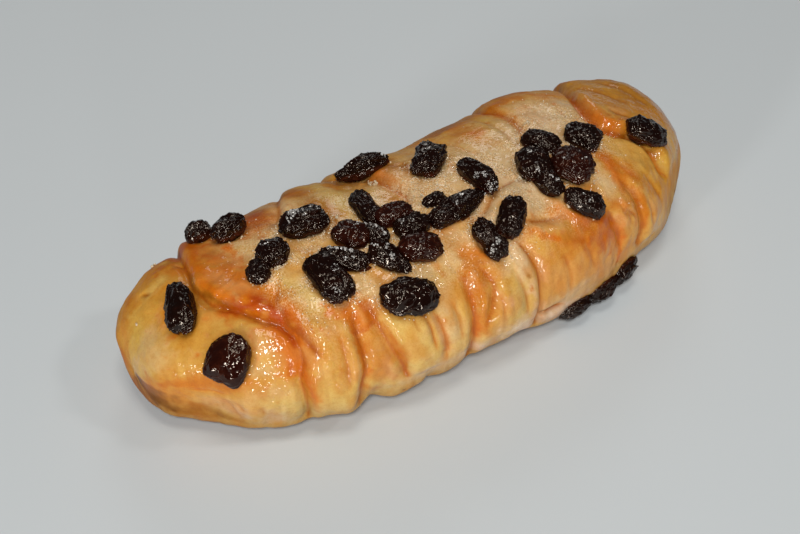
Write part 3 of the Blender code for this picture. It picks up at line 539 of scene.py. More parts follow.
    Stroke(HONEY, ((8, 0.46), (17, 0.44)), 3.0, 0.6),
    Stroke(AMBER, ((9, 0.06), (8.4, 0.0)), 1.1, 0.5),
    Stroke(AMBER, ((0, -0.27), (3, -0.31)), 1.7, 0.6),
    Stroke(PINK, ((-6, -0.24), (-2.5, -0.29)), 2.0, 0.5),
    # cream bulge and the folds right of it
    Stroke(STRAW, ((30, 0.35), (29, 0.2)), 3.2, 0.6),
    Stroke(AMBER, ((19.5, 0.3), (24, 0.2)), 2.8, 0.65),
    Stroke(ORANGE, ((23, 0.22), (24, 0.19)), 1.3, 0.5),
    Stroke(BROWN, ((17, 0.5), (29, 0.47)), 3.6, 0.7),
    Stroke(AMBER, ((35, 0.42), (36.7, 0.28), (36.2, 0.15), (34, 0.03)), 1.7, 0.7),
    Stroke(PINK, ((41, 0.25), (39.5, 0.08)), 2.4, 0.6),
    Stroke(AMBER, ((39.5, 0.42), (46, 0.38)), 2.8, 0.75),
    Stroke(BROWN, ((38, 0.52), (52, 0.48)), 2.8, 0.5),
    Stroke(AMBER, ((50, 0.36), (53, 0.24)), 2.8, 0.75),
    Stroke(CREAM, ((14, -0.28), (20, -0.36), (27, -0.42)), 5.0, 0.8),
    # large smooth facet of the near side
    Stroke(AMBER, ((20, -0.62), (30, -0.7)), 4.0, 0.5),
    Stroke(ORANGE, ((30, -0.58), (36, -0.6), (36.5, -0.76)), 4.5, 0.6),
    Stroke(AMBER, ((34, -0.46), (38, -0.47)), 3.0, 0.6),
    Stroke(RUST, ((24, -0.6), (30, -0.6), (36, -0.6), (42, -0.74)), 3.6, 0.45),
    Stroke(TAN, ((-7, -0.6), (-5, -0.42)), 3.0, 0.5),
    Stroke(ORANGE, ((25, -0.46), (27, -0.52), (31, -0.57)), 2.2, 0.75),
    Stroke(PINK, ((16.5, -0.47), (22.5, -0.52)), 1.8, 0.7),
    Stroke(ORANGE, ((15.5, -0.53), (18, -0.565), (20.5, -0.6)), 1.0, 0.8),
    Stroke(EMBER, ((33.5, -0.595), (37, -0.625), (40, -0.67)), 1.8, 0.7),
    Stroke(AMBER, ((34.5, -0.68), (34, -0.8)), 1.1, 0.6),
    Stroke(ORANGE, ((40.5, -0.69), (42, -0.77), (42.6, -0.85), (42, -0.93),
                    (40.5, -1.05)), 0.9, 0.85),
    Stroke(PINK, ((42, -0.67), (44.5, -0.75)), 0.9, 0.6),
    Stroke(TAN, ((43, -0.62), (48, -0.7)), 2.6, 0.6),
    Stroke(ORANGE, ((43, -0.6), (46, -0.64)), 1.4, 0.5),
    Stroke(AMBER, ((51.5, -0.58), (53.3, -0.68), (53, -0.78), (52, -0.9)), 1.0, 0.8),
    Stroke(PINK, ((56, -0.72), (56, -0.92)), 1.4, 0.4),
    Stroke(BUTTER, ((11, -1.13), (18, -1.18)), 2.0, 0.8),
    # right end
    Stroke(CREAM, ((41.5, -0.4), (44.5, -0.5)), 3.0, 0.85),
    Stroke(AMBER, ((48.6, -0.33), (52, -0.44), (54.5, -0.55)), 2.4, 0.9),
    Stroke(ORANGE, ((50, -0.4), (53.5, -0.52)), 1.2, 0.4),
    Stroke(GOLD, ((54, -0.27), (59, -0.4)), 3.4, 0.8),
    Stroke(CREAM, ((53, 0.18), (56, 0.04)), 2.4, 0.7),
    Stroke(EMBER, ((59.5, 0.2), (58.3, 0.1), (57.4, 0.04)), 1.0, 0.85),
    Stroke(ORANGE, ((57.4, 0.03), (57, -0.05), (57.6, -0.13), (59.4, -0.18)), 2.2, 0.85),
    Stroke(TAN, ((62, 0.12), (67, -0.08)), 3.6, 0.7),
    # painted highlight along a glossy ridge beside the crease
    Stroke(PINK, ((63.5, -0.07), (66, -0.14)), 0.9, 0.6),
    Stroke(AMBER, ((60, -0.2), (63, -0.27)), 1.5, 0.6),
    Stroke(BROWN, ((61, -0.265), (64, -0.33), (66.5, -0.41)), 0.7, 0.8),
    # painted highlight on the pale ridge above the crease
    Stroke(PINK, ((63, -0.285), (65.5, -0.335)), 0.7, 0.6),
    # painted shade in the hollow beside raisin 32
    Stroke(BROWN, ((67, -0.47), (68, -0.53)), 1.5, 0.5),
    Stroke(STRAW, ((67, -0.57), (70, -0.68)), 2.2, 0.7),
    Stroke(TAN, ((72, -0.1), (78, -0.25)), 2.4, 0.6),
    Stroke(HONEY, ((58, -0.58), (64, -0.82)), 4.0, 0.5),
    # touches laid over all the others
    Stroke(PINK, ((-64, 0.06), (-62, -0.08), (-60, -0.13)), 2.6, 0.45),
    Stroke(AMBER, ((-79, -0.62), (-76, -0.63)), 2.6, 0.45),
    Stroke(ORANGE, ((-55, -0.22), (-54, -0.38)), 2.4, 0.45),
    Stroke(AMBER, ((-85, -0.74), (-78, -0.7)), 3.0, 0.65),
    Stroke(GOLD, ((-72, 0.2), (-72, -0.06)), 2.4, 0.55),
    Stroke(ORANGE, ((-60, -0.5), (-60, -0.66)), 2.2, 0.65),
    Stroke(ORANGE, ((-43, -0.46), (-41, -0.52)), 2.2, 0.65),
    Stroke(CREAM, ((-37, 0.5), (-36, 0.36)), 2.6, 0.65),
    # painted shade between the raisins near along -30
    Stroke(BROWN, ((-30, -0.02), (-30, 0.36)), 2.4, 0.55),
    Stroke(AMBER, ((-7, -0.62), (-5.5, -0.48)), 2.6, 0.55),
    # painted reflected light: the low near side made paler, as if lit from below
    Stroke(SUGAR, ((-13, -1.05), (-10, -1.1)), 2.6, 0.5),
    Stroke(SUGAR, ((3, -1.02), (10, -1.12), (20, -1.2)), 3.6, 0.55),
    Stroke(EMBER, ((33, -0.7), (38, -0.74)), 2.6, 0.5),
    Stroke(RUST, ((29, -0.6), (37, -0.6)), 2.6, 0.4),
    Stroke(TAN, ((11, -0.47), (17, -0.5), (25, -0.48)), 2.6, 0.45),
    Stroke(TAN, ((-31, -0.34), (-29, -0.4)), 2.6, 0.5),
    Stroke(AMBER, ((-12, 0.05), (-12, -0.03)), 1.8, 0.5),
    Stroke(TAN, ((-49, -0.08), (-47, -0.16)), 2.4, 0.5),
    Stroke(TAN, ((22, 0.16), (25, 0.08)), 2.6, 0.5),
    # painted shadow on the far left tip
    Stroke(BARK, ((-90, -1.3), (-90, -1.02)), 3.2, 0.6),
    Stroke(ORANGE, ((48.5, -0.52), (48, -0.36)), 2.6, 0.8),
)


def add_mesh(operator: Callable, name: str, **settings: object) -> bpy.types.Object:
    """Add one of Blender's own meshes.

    Args:
        operator: the operator that adds it.
        name: the new object's name.
        settings: the operator's settings.

    Returns:
        The new object.
    """
    bpy.ops.object.select_all(action="DESELECT")
    operator(**settings)
    piece = bpy.context.active_object
    piece.name = name
    return piece


def read_values(items: bpy.types.bpy_prop_collection, name: str) -> np.ndarray:
    """One number of each item."""
    values = np.empty(len(items))
    items.foreach_get(name, values)
    return values


def read_rows(items: bpy.types.bpy_prop_collection, name: str) -> np.ndarray:
    """Three numbers of each item, as rows."""
    flat = np.empty(len(items) * 3)
    items.foreach_get(name, flat)
    return flat.reshape(-1, 3)


def read_points(mesh: bpy.types.Mesh) -> np.ndarray:
    """Vertex places as rows of three."""
    return read_rows(mesh.vertices, "co")


def read_normals(mesh: bpy.types.Mesh) -> np.ndarray:
    """Vertex normals as rows of three."""
    return read_rows(mesh.vertex_normals, "vector")


def write_points(mesh: bpy.types.Mesh, points: np.ndarray) -> None:
    """Move the vertices."""
    mesh.vertices.foreach_set("co", points.ravel())
    mesh.update()


def write_values(mesh: bpy.types.Mesh, name: str, values: np.ndarray) -> None:
    """Keep one value for each vertex as an attribute."""
    mesh.attributes.new(name, "FLOAT", "POINT").data.foreach_set("value", values)


def smooth_step(value: np.ndarray) -> np.ndarray:
    """Ease from 0 to 1 as the value does."""
    value = np.clip(value, 0.0, 1.0)
    return value * value * (3.0 - 2.0 * value)


def bell(distance: np.ndarray, width: float) -> np.ndarray:
    """Fade from 1 at no distance to a third at the width, and soon to 0."""
    return np.exp(-(distance / width) ** 2)


def perlin(points: np.ndarray, scale: float, seed: float = 0.0) -> np.ndarray:
    """Smooth noise, about -0.7 to 0.7.

    Args:
        points: rows of three, in millimetres.
        scale: size of one blob in millimetres.
        seed: shift that makes another pattern.

    Returns:
        One value for each row.
    """
    rows = (points / scale + seed * 17.31).tolist()
    return np.array([noise.noise(row) for row in rows])


def patches(points: np.ndarray, scale: float, seed: float, more: float) -> np.ndarray:
    """Scattered patches, 1 inside them and 0 between them.

    Args:
        points: rows of three, in millimetres.
        scale: size of one patch in millimetres.
        seed: shift that makes another pattern.
        more: how far the patches grow, or shrink where it is negative.

    Returns:
        One value for each row.
    """
    return smooth_step(2.4 * perlin(points, scale, seed) + more)


class NodeBoard:
    """A material's node tree, with short calls to add and join nodes."""

    def __init__(self, name: str) -> None:
        """Start a material of this name with its Principled shader."""
        self.material = bpy.data.materials.new(name)
        self.material.use_nodes = True
        self.nodes = self.material.node_tree.nodes
        self.links = self.material.node_tree.links
        self.shader = self.nodes["Principled BSDF"]

    def add(self, kind: str, inputs: dict | None = None, **settings: object) -> bpy.types.Node:
        """Add a node.

        Args:
            kind: the node's type name.
            inputs: values or sockets for its inputs, by name or index.
            settings: the node's own properties.

        Returns:
            The new node.
        """
        node = self.nodes.new(kind)
        for key, value in settings.items():
            setattr(node, key, value)
        for key, value in (inputs or {}).items():
            self.feed(node.inputs[key], value)
        return node

    def feed(self, socket: bpy.types.NodeSocket, value: object) -> None:
        """Link a socket to the input, or set its value."""
        if isinstance(value, bpy.types.NodeSocket):
            self.links.new(value, socket)
        else:
            socket.default_value = value

    def shade(self, **inputs: object) -> None:
        """Set or link the shader's inputs, named with _ for spaces."""
        for key, value in inputs.items():
            self.feed(self.shader.inputs[key.replace("_", " ")], value)

    def attribute(self, name: str) -> bpy.types.Node:
        """Read a vertex attribute."""
        return self.add("ShaderNodeAttribute", attribute_name=name)

    def value(self, attribute: str) -> bpy.types.NodeSocket:
        """A vertex attribute's value."""
        return self.attribute(attribute).outputs["Fac"]

    def texture(self, kind: str, size_mm: float, inputs: dict,
                **settings: object) -> bpy.types.NodeSocket:
        """A texture in the object's own space.

        Args:
            kind: the texture node's type name.
            size_mm: the size of its pattern in millimetres.
            inputs: values for its other inputs, by name.
            settings: the node's own properties.

        Returns:
            The socket of its first value.
        """
        places = self.add("ShaderNodeTexCoord").outputs["Object"]
        scale = 1.0 / (size_mm * MM)
        return self.add(kind, {"Vector": places, "Scale": scale, **inputs}, **settings).outputs[0]

    def noise(self, size_mm: float, detail: float, rough: float) -> bpy.types.NodeSocket:
        """Noise with blobs of a size, finer octaves of noise on them, and their strength."""
        return self.texture("ShaderNodeTexNoise", size_mm,
                            {"Detail": detail, "Roughness": rough})

    def domes(self, size_mm: float) -> bpy.types.NodeSocket:
        """Distance to the nearest of scattered points about a size apart, rounded off."""
        return self.texture("ShaderNodeTexVoronoi", size_mm, {}, feature="SMOOTH_F1")

    def times(self, first: object, second: object) -> bpy.types.NodeSocket:
        """The product of two values."""
        return self.add("ShaderNodeMath", {0: first, 1: second},
                        operation="MULTIPLY").outputs[0]

    def remap(self, value: object, low: float, high: float, to_low: float = 0.0,
              to_high: float = 1.0) -> bpy.types.NodeSocket:
        """Stretch a value from one range to another, clamped."""
        node = self.add("ShaderNodeMapRange", {
            "Value": value, "From Min": low, "From Max": high, "To Min": to_low,
            "To Max": to_high}, clamp=True)
        return node.outputs[0]

    def mix(self, share: object, first: object, second: object,
            blend: str = "MIX") -> bpy.types.NodeSocket:
        """Blend two colours, each a socket or red, green and blue."""
        node = self.add("ShaderNodeMix", data_type="RGBA", blend_type=blend)
        self.feed(node.inputs[0], share)
        for socket, colour in ((node.inputs[6], first), (node.inputs[7], second)):
            self.feed(socket, (*colour, 1.0) if isinstance(colour, tuple) else colour)
        return node.outputs[2]

    def multiply(self, share: object, colour: object, tint: tuple) -> bpy.types.NodeSocket:
        """Darken a colour by a tint, as far as the share says."""
        return self.mix(share, colour, tint, "MULTIPLY")

    def bump(self, height: object, distance_mm: float, strength: object = 1.0,
             normal: object = None) -> bpy.types.NodeSocket:
        """Turn a height into a normal, on top of another if given."""
        node = self.add("ShaderNodeBump", {
            "Height": height, "Distance": distance_mm * MM, "Strength": strength})
        if normal is not None:
            self.feed(node.inputs["Normal"], normal)
        return node.outputs[0]


@dataclass(frozen=True)
class CrustFinish:
    """Glazed, baked crust whose colour, dusting and grit come from the loaf's attributes."""

    crumb_roughness: float = 0.50
    dust_roughness: float = 0.70
    crumb_ior: float = 1.4
    shine: float = 0.12           # of the crust under its glaze
    glow_weight: float = 0.10     # light that goes in and comes out again
    glow_mm: float = 1.0
    glow_radius: tuple = (1.0, 0.45, 0.18)
    glaze: float = 0.75
    glaze_roughness: float = 0.10
    glaze_ior: float = 1.42
    mottle: float = 0.35          # strength of the broad brown patches
    mottle_tint: tuple = (0.86, 0.66, 0.36)
    fleck: float = 0.28           # of the fine ones
    fleck_tint: tuple = (0.84, 0.60, 0.34)
    sugar: float = 0.66           # of the pale specks of sugar
    sugar_tint: tuple = (0.98, 0.77, 0.48)
    # painted shade in the fine pits of the crust and its sugar, as darker specks
    pit_shade_tint: tuple = (0.66, 0.44, 0.24)
    pit_shade_bare: float = 0.18        # strength of the painted shade in the fine pits of bare crust
    pit_shade_dusted: float = 0.52      # and under the sugar
    wave_height_mm: float = 0.50
    crumb_height_mm: float = 0.36
    pimple_mm: float = 1.0
    pimple_height_mm: float = 0.26
    ripple_height_mm: float = 0.30

    def colour(self, board: NodeBoard, dust: bpy.types.NodeSocket) -> bpy.types.NodeSocket:
        """The baked colours with their painted light and shade, mottled and sugared, with darker
        specks of painted shade in the fine pits.

        Args:
            board: the material's node tree.
            dust: how sugary the crust is.

        Returns:
            The colour's socket.
        """
        broad = board.noise(5.0, 3.0, 0.6)
        fine = board.noise(1.1, 4.0, 0.7)
        speck = board.noise(0.42, 2.0, 0.6)
        tint = board.attribute("tint").outputs["Color"]
        toned = board.multiply(board.remap(broad, 0.42, 0.66, 0.0, self.mottle), tint,
                               self.mottle_tint)
        toned = board.multiply(board.remap(fine, 0.46, 0.64, 0.0, self.fleck), toned,
                               self.fleck_tint)
        sugared = board.times(board.remap(speck, 0.50, 0.60),
                              board.remap(dust, 0.0, 1.0, 0.0, self.sugar))
        toned = board.mix(sugared, toned, self.sugar_tint)
        # darker specks: painted shade in the fine pits, deeper under the sugar
        pit_shade = board.times(board.remap(speck, 0.47, 0.36),
                             board.remap(dust, 0.0, 1.0, self.pit_shade_bare, self.pit_shade_dusted))
        return board.multiply(pit_shade, toned, self.pit_shade_tint)

    def build(self) -> bpy.types.Material:
        """Make the material.

        Returns:
            The crust's material.
        """
        board = NodeBoard("crust_glaze")
        dust = board.value("dust")
        waves = board.bump(board.noise(3.2, 2.0, 0.5), self.wave_height_mm, 0.6)
        crumbs = board.bump(board.noise(0.75, 3.0, 0.65), self.crumb_height_mm,
                            board.remap(dust, 0.1, 0.8, 0.10, 1.0), waves)
        grit = board.remap(board.value("grit"), 0.0, 1.0, 0.12, 1.0)
        glaze = board.bump(board.domes(self.pimple_mm), -self.pimple_height_mm, grit, waves)
        glaze = board.bump(board.noise(1.8, 1.0, 0.5), self.ripple_height_mm, grit, glaze)
        rough = board.remap(dust, 0.0, 1.0, self.crumb_roughness, self.dust_roughness)
        board.shade(Base_Color=self.colour(board, dust), Roughness=rough, Normal=crumbs,
                    IOR=self.crumb_ior, Specular_IOR_Level=self.shine,
                    Subsurface_Weight=self.glow_weight, Subsurface_Scale=self.glow_mm * MM,
                    Subsurface_Radius=self.glow_radius, Coat_Normal=glaze,
                    Coat_Weight=board.times(board.value("glaze"), self.glaze),
                    Coat_Roughness=self.glaze_roughness, Coat_IOR=self.glaze_ior)
        return board.material


@dataclass(frozen=True)
class RaisinFinish:
    """Dark, sticky skin of a raisin, redder low down where it is thin: painted glow of light
    through the skin.
    """

    name: str
    valley: tuple
    crest: tuple
    rim: tuple                # the thin skin low down, next to the crust: painted glow of light through it
    smoothest: float = 0.03
    roughest: float = 0.17
    ior: float = 1.45
    shine: float = 0.42
    shine_tint: tuple = (1.0, 0.87, 0.75, 1.0)
    pimple_mm: float = 1.0
    pimple_height_mm: float = 0.40
    grain_height_mm: float = 0.12

    def build(self) -> bpy.types.Material:
        """Make the material.

        Returns:
            The raisin's material.
        """
        board = NodeBoard(self.name)
        grain = board.value("grain")
        patch = board.noise(2.4, 3.0, 0.6)
        raised = board.times(board.value("ridge"), board.remap(patch, 0.40, 0.62, 0.1, 1.0))
        # redder low down: painted glow of light shining through the thin skin
        edge = board.times(board.value("rim"), board.remap(patch, 0.62, 0.40, 0.2, 1.0))
        colour = board.mix(edge, board.mix(raised, self.valley, self.crest), self.rim)
        rough = board.remap(board.noise(1.3, 2.0, 0.6), 0.35, 0.65, self.smoothest,
                            self.roughest)
        normal = board.bump(board.domes(self.pimple_mm), -self.pimple_height_mm, grain)
        normal = board.bump(board.noise(0.6, 1.0, 0.5), self.grain_height_mm, grain, normal)
        board.shade(Base_Color=colour, Roughness=rough, Normal=normal, IOR=self.ior,
                    Specular_IOR_Level=self.shine, Specular_Tint=self.shine_tint)
        return board.material


DARK_RAISIN = RaisinFinish("dark_raisin", valley=(0.006, 0.0015, 0.0008),
                           crest=(0.018, 0.004, 0.002), rim=(0.050, 0.009, 0.003))
RUDDY_RAISIN = RaisinFinish("ruddy_raisin", valley=(0.014, 0.002, 0.001),
                            crest=(0.046, 0.009, 0.003), rim=(0.085, 0.016, 0.005))


@dataclass(frozen=True)
class SugarFinish:
    """Wet sugar grains, creamy on the crust and clear on the raisins."""

    crumb_dark: tuple = (0.58, 0.38, 0.19)
    crumb_light: tuple = (0.90, 0.78, 0.58)
    frost_dark: tuple = (0.14, 0.12, 0.11)
    frost_light: tuple = (0.72, 0.70, 0.67)
    roughness: float = 0.10
    ior: float = 1.5
    clearness: float = 0.2
    wear_mm: float = 0.05

    def build(self) -> bpy.types.Material:
        """Make the material.

        Returns:
            The grains' material.
        """
        board = NodeBoard("sugar_grain")
        cloud = board.remap(board.noise(0.4, 2.0, 0.5), 0.4, 0.6)
        colour = board.mix(board.value("frost"),
                           board.mix(cloud, self.crumb_dark, self.crumb_light),
                           board.mix(cloud, self.frost_dark, self.frost_light))
        board.shade(Base_Color=colour, Roughness=self.roughness, IOR=self.ior,
                    Transmission_Weight=self.clearness,
                    Normal=board.bump(board.noise(0.2, 2.0, 0.6), self.wear_mm, 0.6))
        return board.material


@dataclass(frozen=True)
class FloorFinish:
    """Plain pale matt floor."""

    colour: tuple = (0.60, 0.64, 0.67, 1.0)
    roughness: float = 0.6

    def build(self) -> bpy.types.Material:
        """Make the material.

        Returns:
            The floor's material.
        """
        board = NodeBoard("pale_floor")
        board.shade(Base_Color=self.colour, Roughness=self.roughness)
        return board.material


@dataclass(frozen=True)
class Nearness:
    """How each place on the crust lies to a line on it, in millimetres."""

    gap: np.ndarray
    side: np.ndarray          # +1 on the left of the way along the line, -1 on the right
    run: np.ndarray
    total: float

    def fade(self, length: float) -> np.ndarray:
        """Ease from 0 at both ends of the line to 1 a length further in."""
        length = min(length, 0.4 * self.total)
        return smooth_step(np.minimum(self.run, self.total - self.run) / length)

    def raised(self, fold: Fold) -> np.ndarray:
        """Whether each place is on the side of the fold's lip."""
        return self.side * np.sign(fold.lip) > 0.0


def near_line(path: tuple, spots: np.ndarray) -> Nearness:
    """Measure places on the crust against a line.

    Args:
        path: the line's points, (along, girth).
        spots: rows of along and girth, both in millimetres.

    Returns:
        The distance, side and run of each place.
    """
    line = np.array(path) * (1.0, GIRTH_MM)
    spans = np.linalg.norm(np.diff(line, axis=0), axis=1)
    gap = np.full(len(spots), np.inf)
    side = np.ones(len(spots))
    run = np.zeros(len(spots))
    start = 0.0
    for head, tail, span in zip(line[:-1], line[1:], spans):
        way = (tail - head) / span
        rel = spots - head
        step = np.clip(rel @ way, 0.0, span)
        here = np.linalg.norm(rel - step[:, None] * way, axis=1)
        turn = way[0] * rel[:, 1] - way[1] * rel[:, 0]
        closer = here < gap
        gap = np.where(closer, here, gap)
        side = np.where(closer, np.sign(turn), side)
        run = np.where(closer, start + step, run)
        start += span
    return Nearness(gap, side, run, float(spans.sum()))


@dataclass(frozen=True)
class LoafForm:
    """The loaf's overall form, the same as that of its solid, in millimetres.

    Its outlines are rounded boxes: a power of 2 gives an ellipse, and a higher one squarer corners.
    """

    length: float = 179.0
    width: float = 70.6
    height: float = 41.8
    waist_share: float = 0.36     # height of the widest line, as a share of the loaf's
    top_power: float = 2.25       # of a cross section above that line
    belly_power: float = 3.0      # and below it
    left_power: float = 2.9       # of the left end seen from above
    right_power: float = 2.75
    left_cut: float = 0.17        # share of the width cut off the left end's near corner
    left_cut_at: float = -84.0
    left_cut_reach: float = 8.0
    crest_power: float = 2.5      # of the crest seen from the side
    sole_power: float = 6.0
    curve: tuple = (-0.5, 10.1, -0.4)     # how far its middle line bends, by powers of the share
    tip_fade: float = 0.02        # share of the half length over which relief fades at a tip
    lip_round: float = 0.9        # radius of a fold's lip
    lip_share: float = 0.45       # how far the other side of a fold sinks for its lip's rise
    fold_fade: float = 6.0        # length over which a fold runs out at its ends

    def point(self, along: np.ndarray, girth: np.ndarray) -> np.ndarray:
        """Points of the plain loaf, before folds and dimples.

        Args:
            along: places along the loaf.
            girth: places around it.

        Returns:
            Rows of three.
        """
        share = np.clip(2.0 * along / self.length, -1.0, 1.0)
        angle = math.pi / 2 * (1.0 - girth)
        cosine = np.cos(angle)
        sine = np.sin(angle)
        upper = sine >= 0.0
        power = np.where(upper, self.top_power, self.belly_power)
        radius = (np.abs(cosine) ** power + np.abs(sine) ** power) ** (-1.0 / power)
        size = np.abs(share)
        end_power = np.where(share < 0.0, self.left_power, self.right_power)
        plan = (1.0 - size ** end_power) ** (1.0 / end_power)
        corner = self.left_cut * bell(along - self.left_cut_at, self.left_cut_reach)
        plan = plan * np.where(cosine < 0.0, 1.0 - corner, 1.0)
        crest = (1.0 - size ** self.crest_power) ** (1.0 / self.crest_power)
        sole = (1.0 - size ** self.sole_power) ** (1.0 / self.sole_power)
        centre = self.curve[0] * share + self.curve[1] * share ** 2 + self.curve[2] * share ** 3
        waist = self.height * self.waist_share
        depth = np.where(upper, (self.height - waist) * crest, waist * sole)
        return np.stack([share * self.length / 2,
                         centre + self.width / 2 * plan * radius * cosine,
                         waist + depth * radius * sine], -1)

    def fold_rise(self, fold: Fold, near: Nearness) -> np.ndarray:
        """Rise of the crust near one fold.

        Args:
            fold: the fold.
            near: how the places lie to it.

        Returns:
            The rise at each place.
        """
        rise = (1.0 - np.exp(-near.gap / self.lip_round)) * np.exp(-near.gap / fold.spread)
        step = np.where(near.raised(fold), rise, -self.lip_share * rise) * abs(fold.lip)
        return near.fade(self.fold_fade) * (step - fold.depth * bell(near.gap, fold.width))

    def relief(self, along: np.ndarray, girth: np.ndarray) -> np.ndarray:
        """Rise of the crust over the plain loaf.

        Args:
            along: places along the loaf.
            girth: places around it.

        Returns:
            The rise along the normal at each place.
        """
        spots = np.stack([along, girth * GIRTH_MM], -1)
        rise = 0.35 * np.sin(along / 7.0 + 1.3) * np.cos(girth * 4.1 + along / 23.0)
        rise += 0.25 * np.sin(along / 4.1 + girth * 6.0)
        for swell in SWELLS:
            rise += (swell.height * bell(along - swell.along, swell.reach_along)
                     * bell(girth - swell.girth, swell.reach_girth))
        for fold in FOLDS:
            rise += self.fold_rise(fold, near_line(fold.path, spots))
        off_tip = (1.0 - np.abs(2.0 * along / self.length)) / self.tip_fade
        return rise * smooth_step(off_tip)

    def stand(self, along: float, girth: float) -> tuple:
        """Where something lies on the crust.

        Args:
            along: place along the loaf.
            girth: place around it.

        Returns:
            The point, the headings along the loaf and to the far side, and the normal.
        """
        step = 0.5
        turn = step / GIRTH_MM
        spots = np.array([(along, girth), (along - step, girth), (along + step, girth),
                          (along, girth - turn), (along, girth + turn)])
        middle, behind, ahead, near, far = self.point(spots[:, 0], spots[:, 1])
        forward = ahead - behind
        forward /= np.linalg.norm(forward)
        normal = np.cross(forward, far - near)
        normal /= np.linalg.norm(normal)
        lift = self.relief(spots[:1, 0], spots[:1, 1])[0]
        return middle + lift * normal, forward, np.cross(normal, forward), normal

    def axes(self, raisin: Raisin) -> tuple:
        """Where a raisin lies on the crust.

        Args:
            raisin: the raisin.

        Returns:
            The point, and its heading, sideways and upward directions.
        """
        origin, forward, across, normal = self.stand(raisin.along, raisin.girth)
        turn = math.radians(raisin.turn)
        heading = math.cos(turn) * forward + math.sin(turn) * across
        return origin, heading, np.cross(normal, heading), normal


@dataclass
class Skin:
    """Where each vertex of the loaf is on its crust."""

    along: np.ndarray
    girth: np.ndarray
    points: np.ndarray            # in space, before folds and dimples
    nearest_raisin: np.ndarray    # 0 at the middle of a raisin and 1 at its outline
    spots: np.ndarray = field(init=False)

    def __post_init__(self) -> None:
        """Work out the places along and around the crust in millimetres."""
        self.spots = np.stack([self.along, self.girth * GIRTH_MM], -1)

    def away(self, along: float, girth: float) -> np.ndarray:
        """Each vertex's offset from a place on the crust, in millimetres."""
        return self.spots - np.array([along, girth * GIRTH_MM])

    def disc(self, along: float, girth: float, reach: float) -> np.ndarray:
        """Fade from 1 at a place to 0 well past the reach."""
        return np.exp(-(self.away(along, girth) ** 2).sum(axis=1) / reach ** 2)


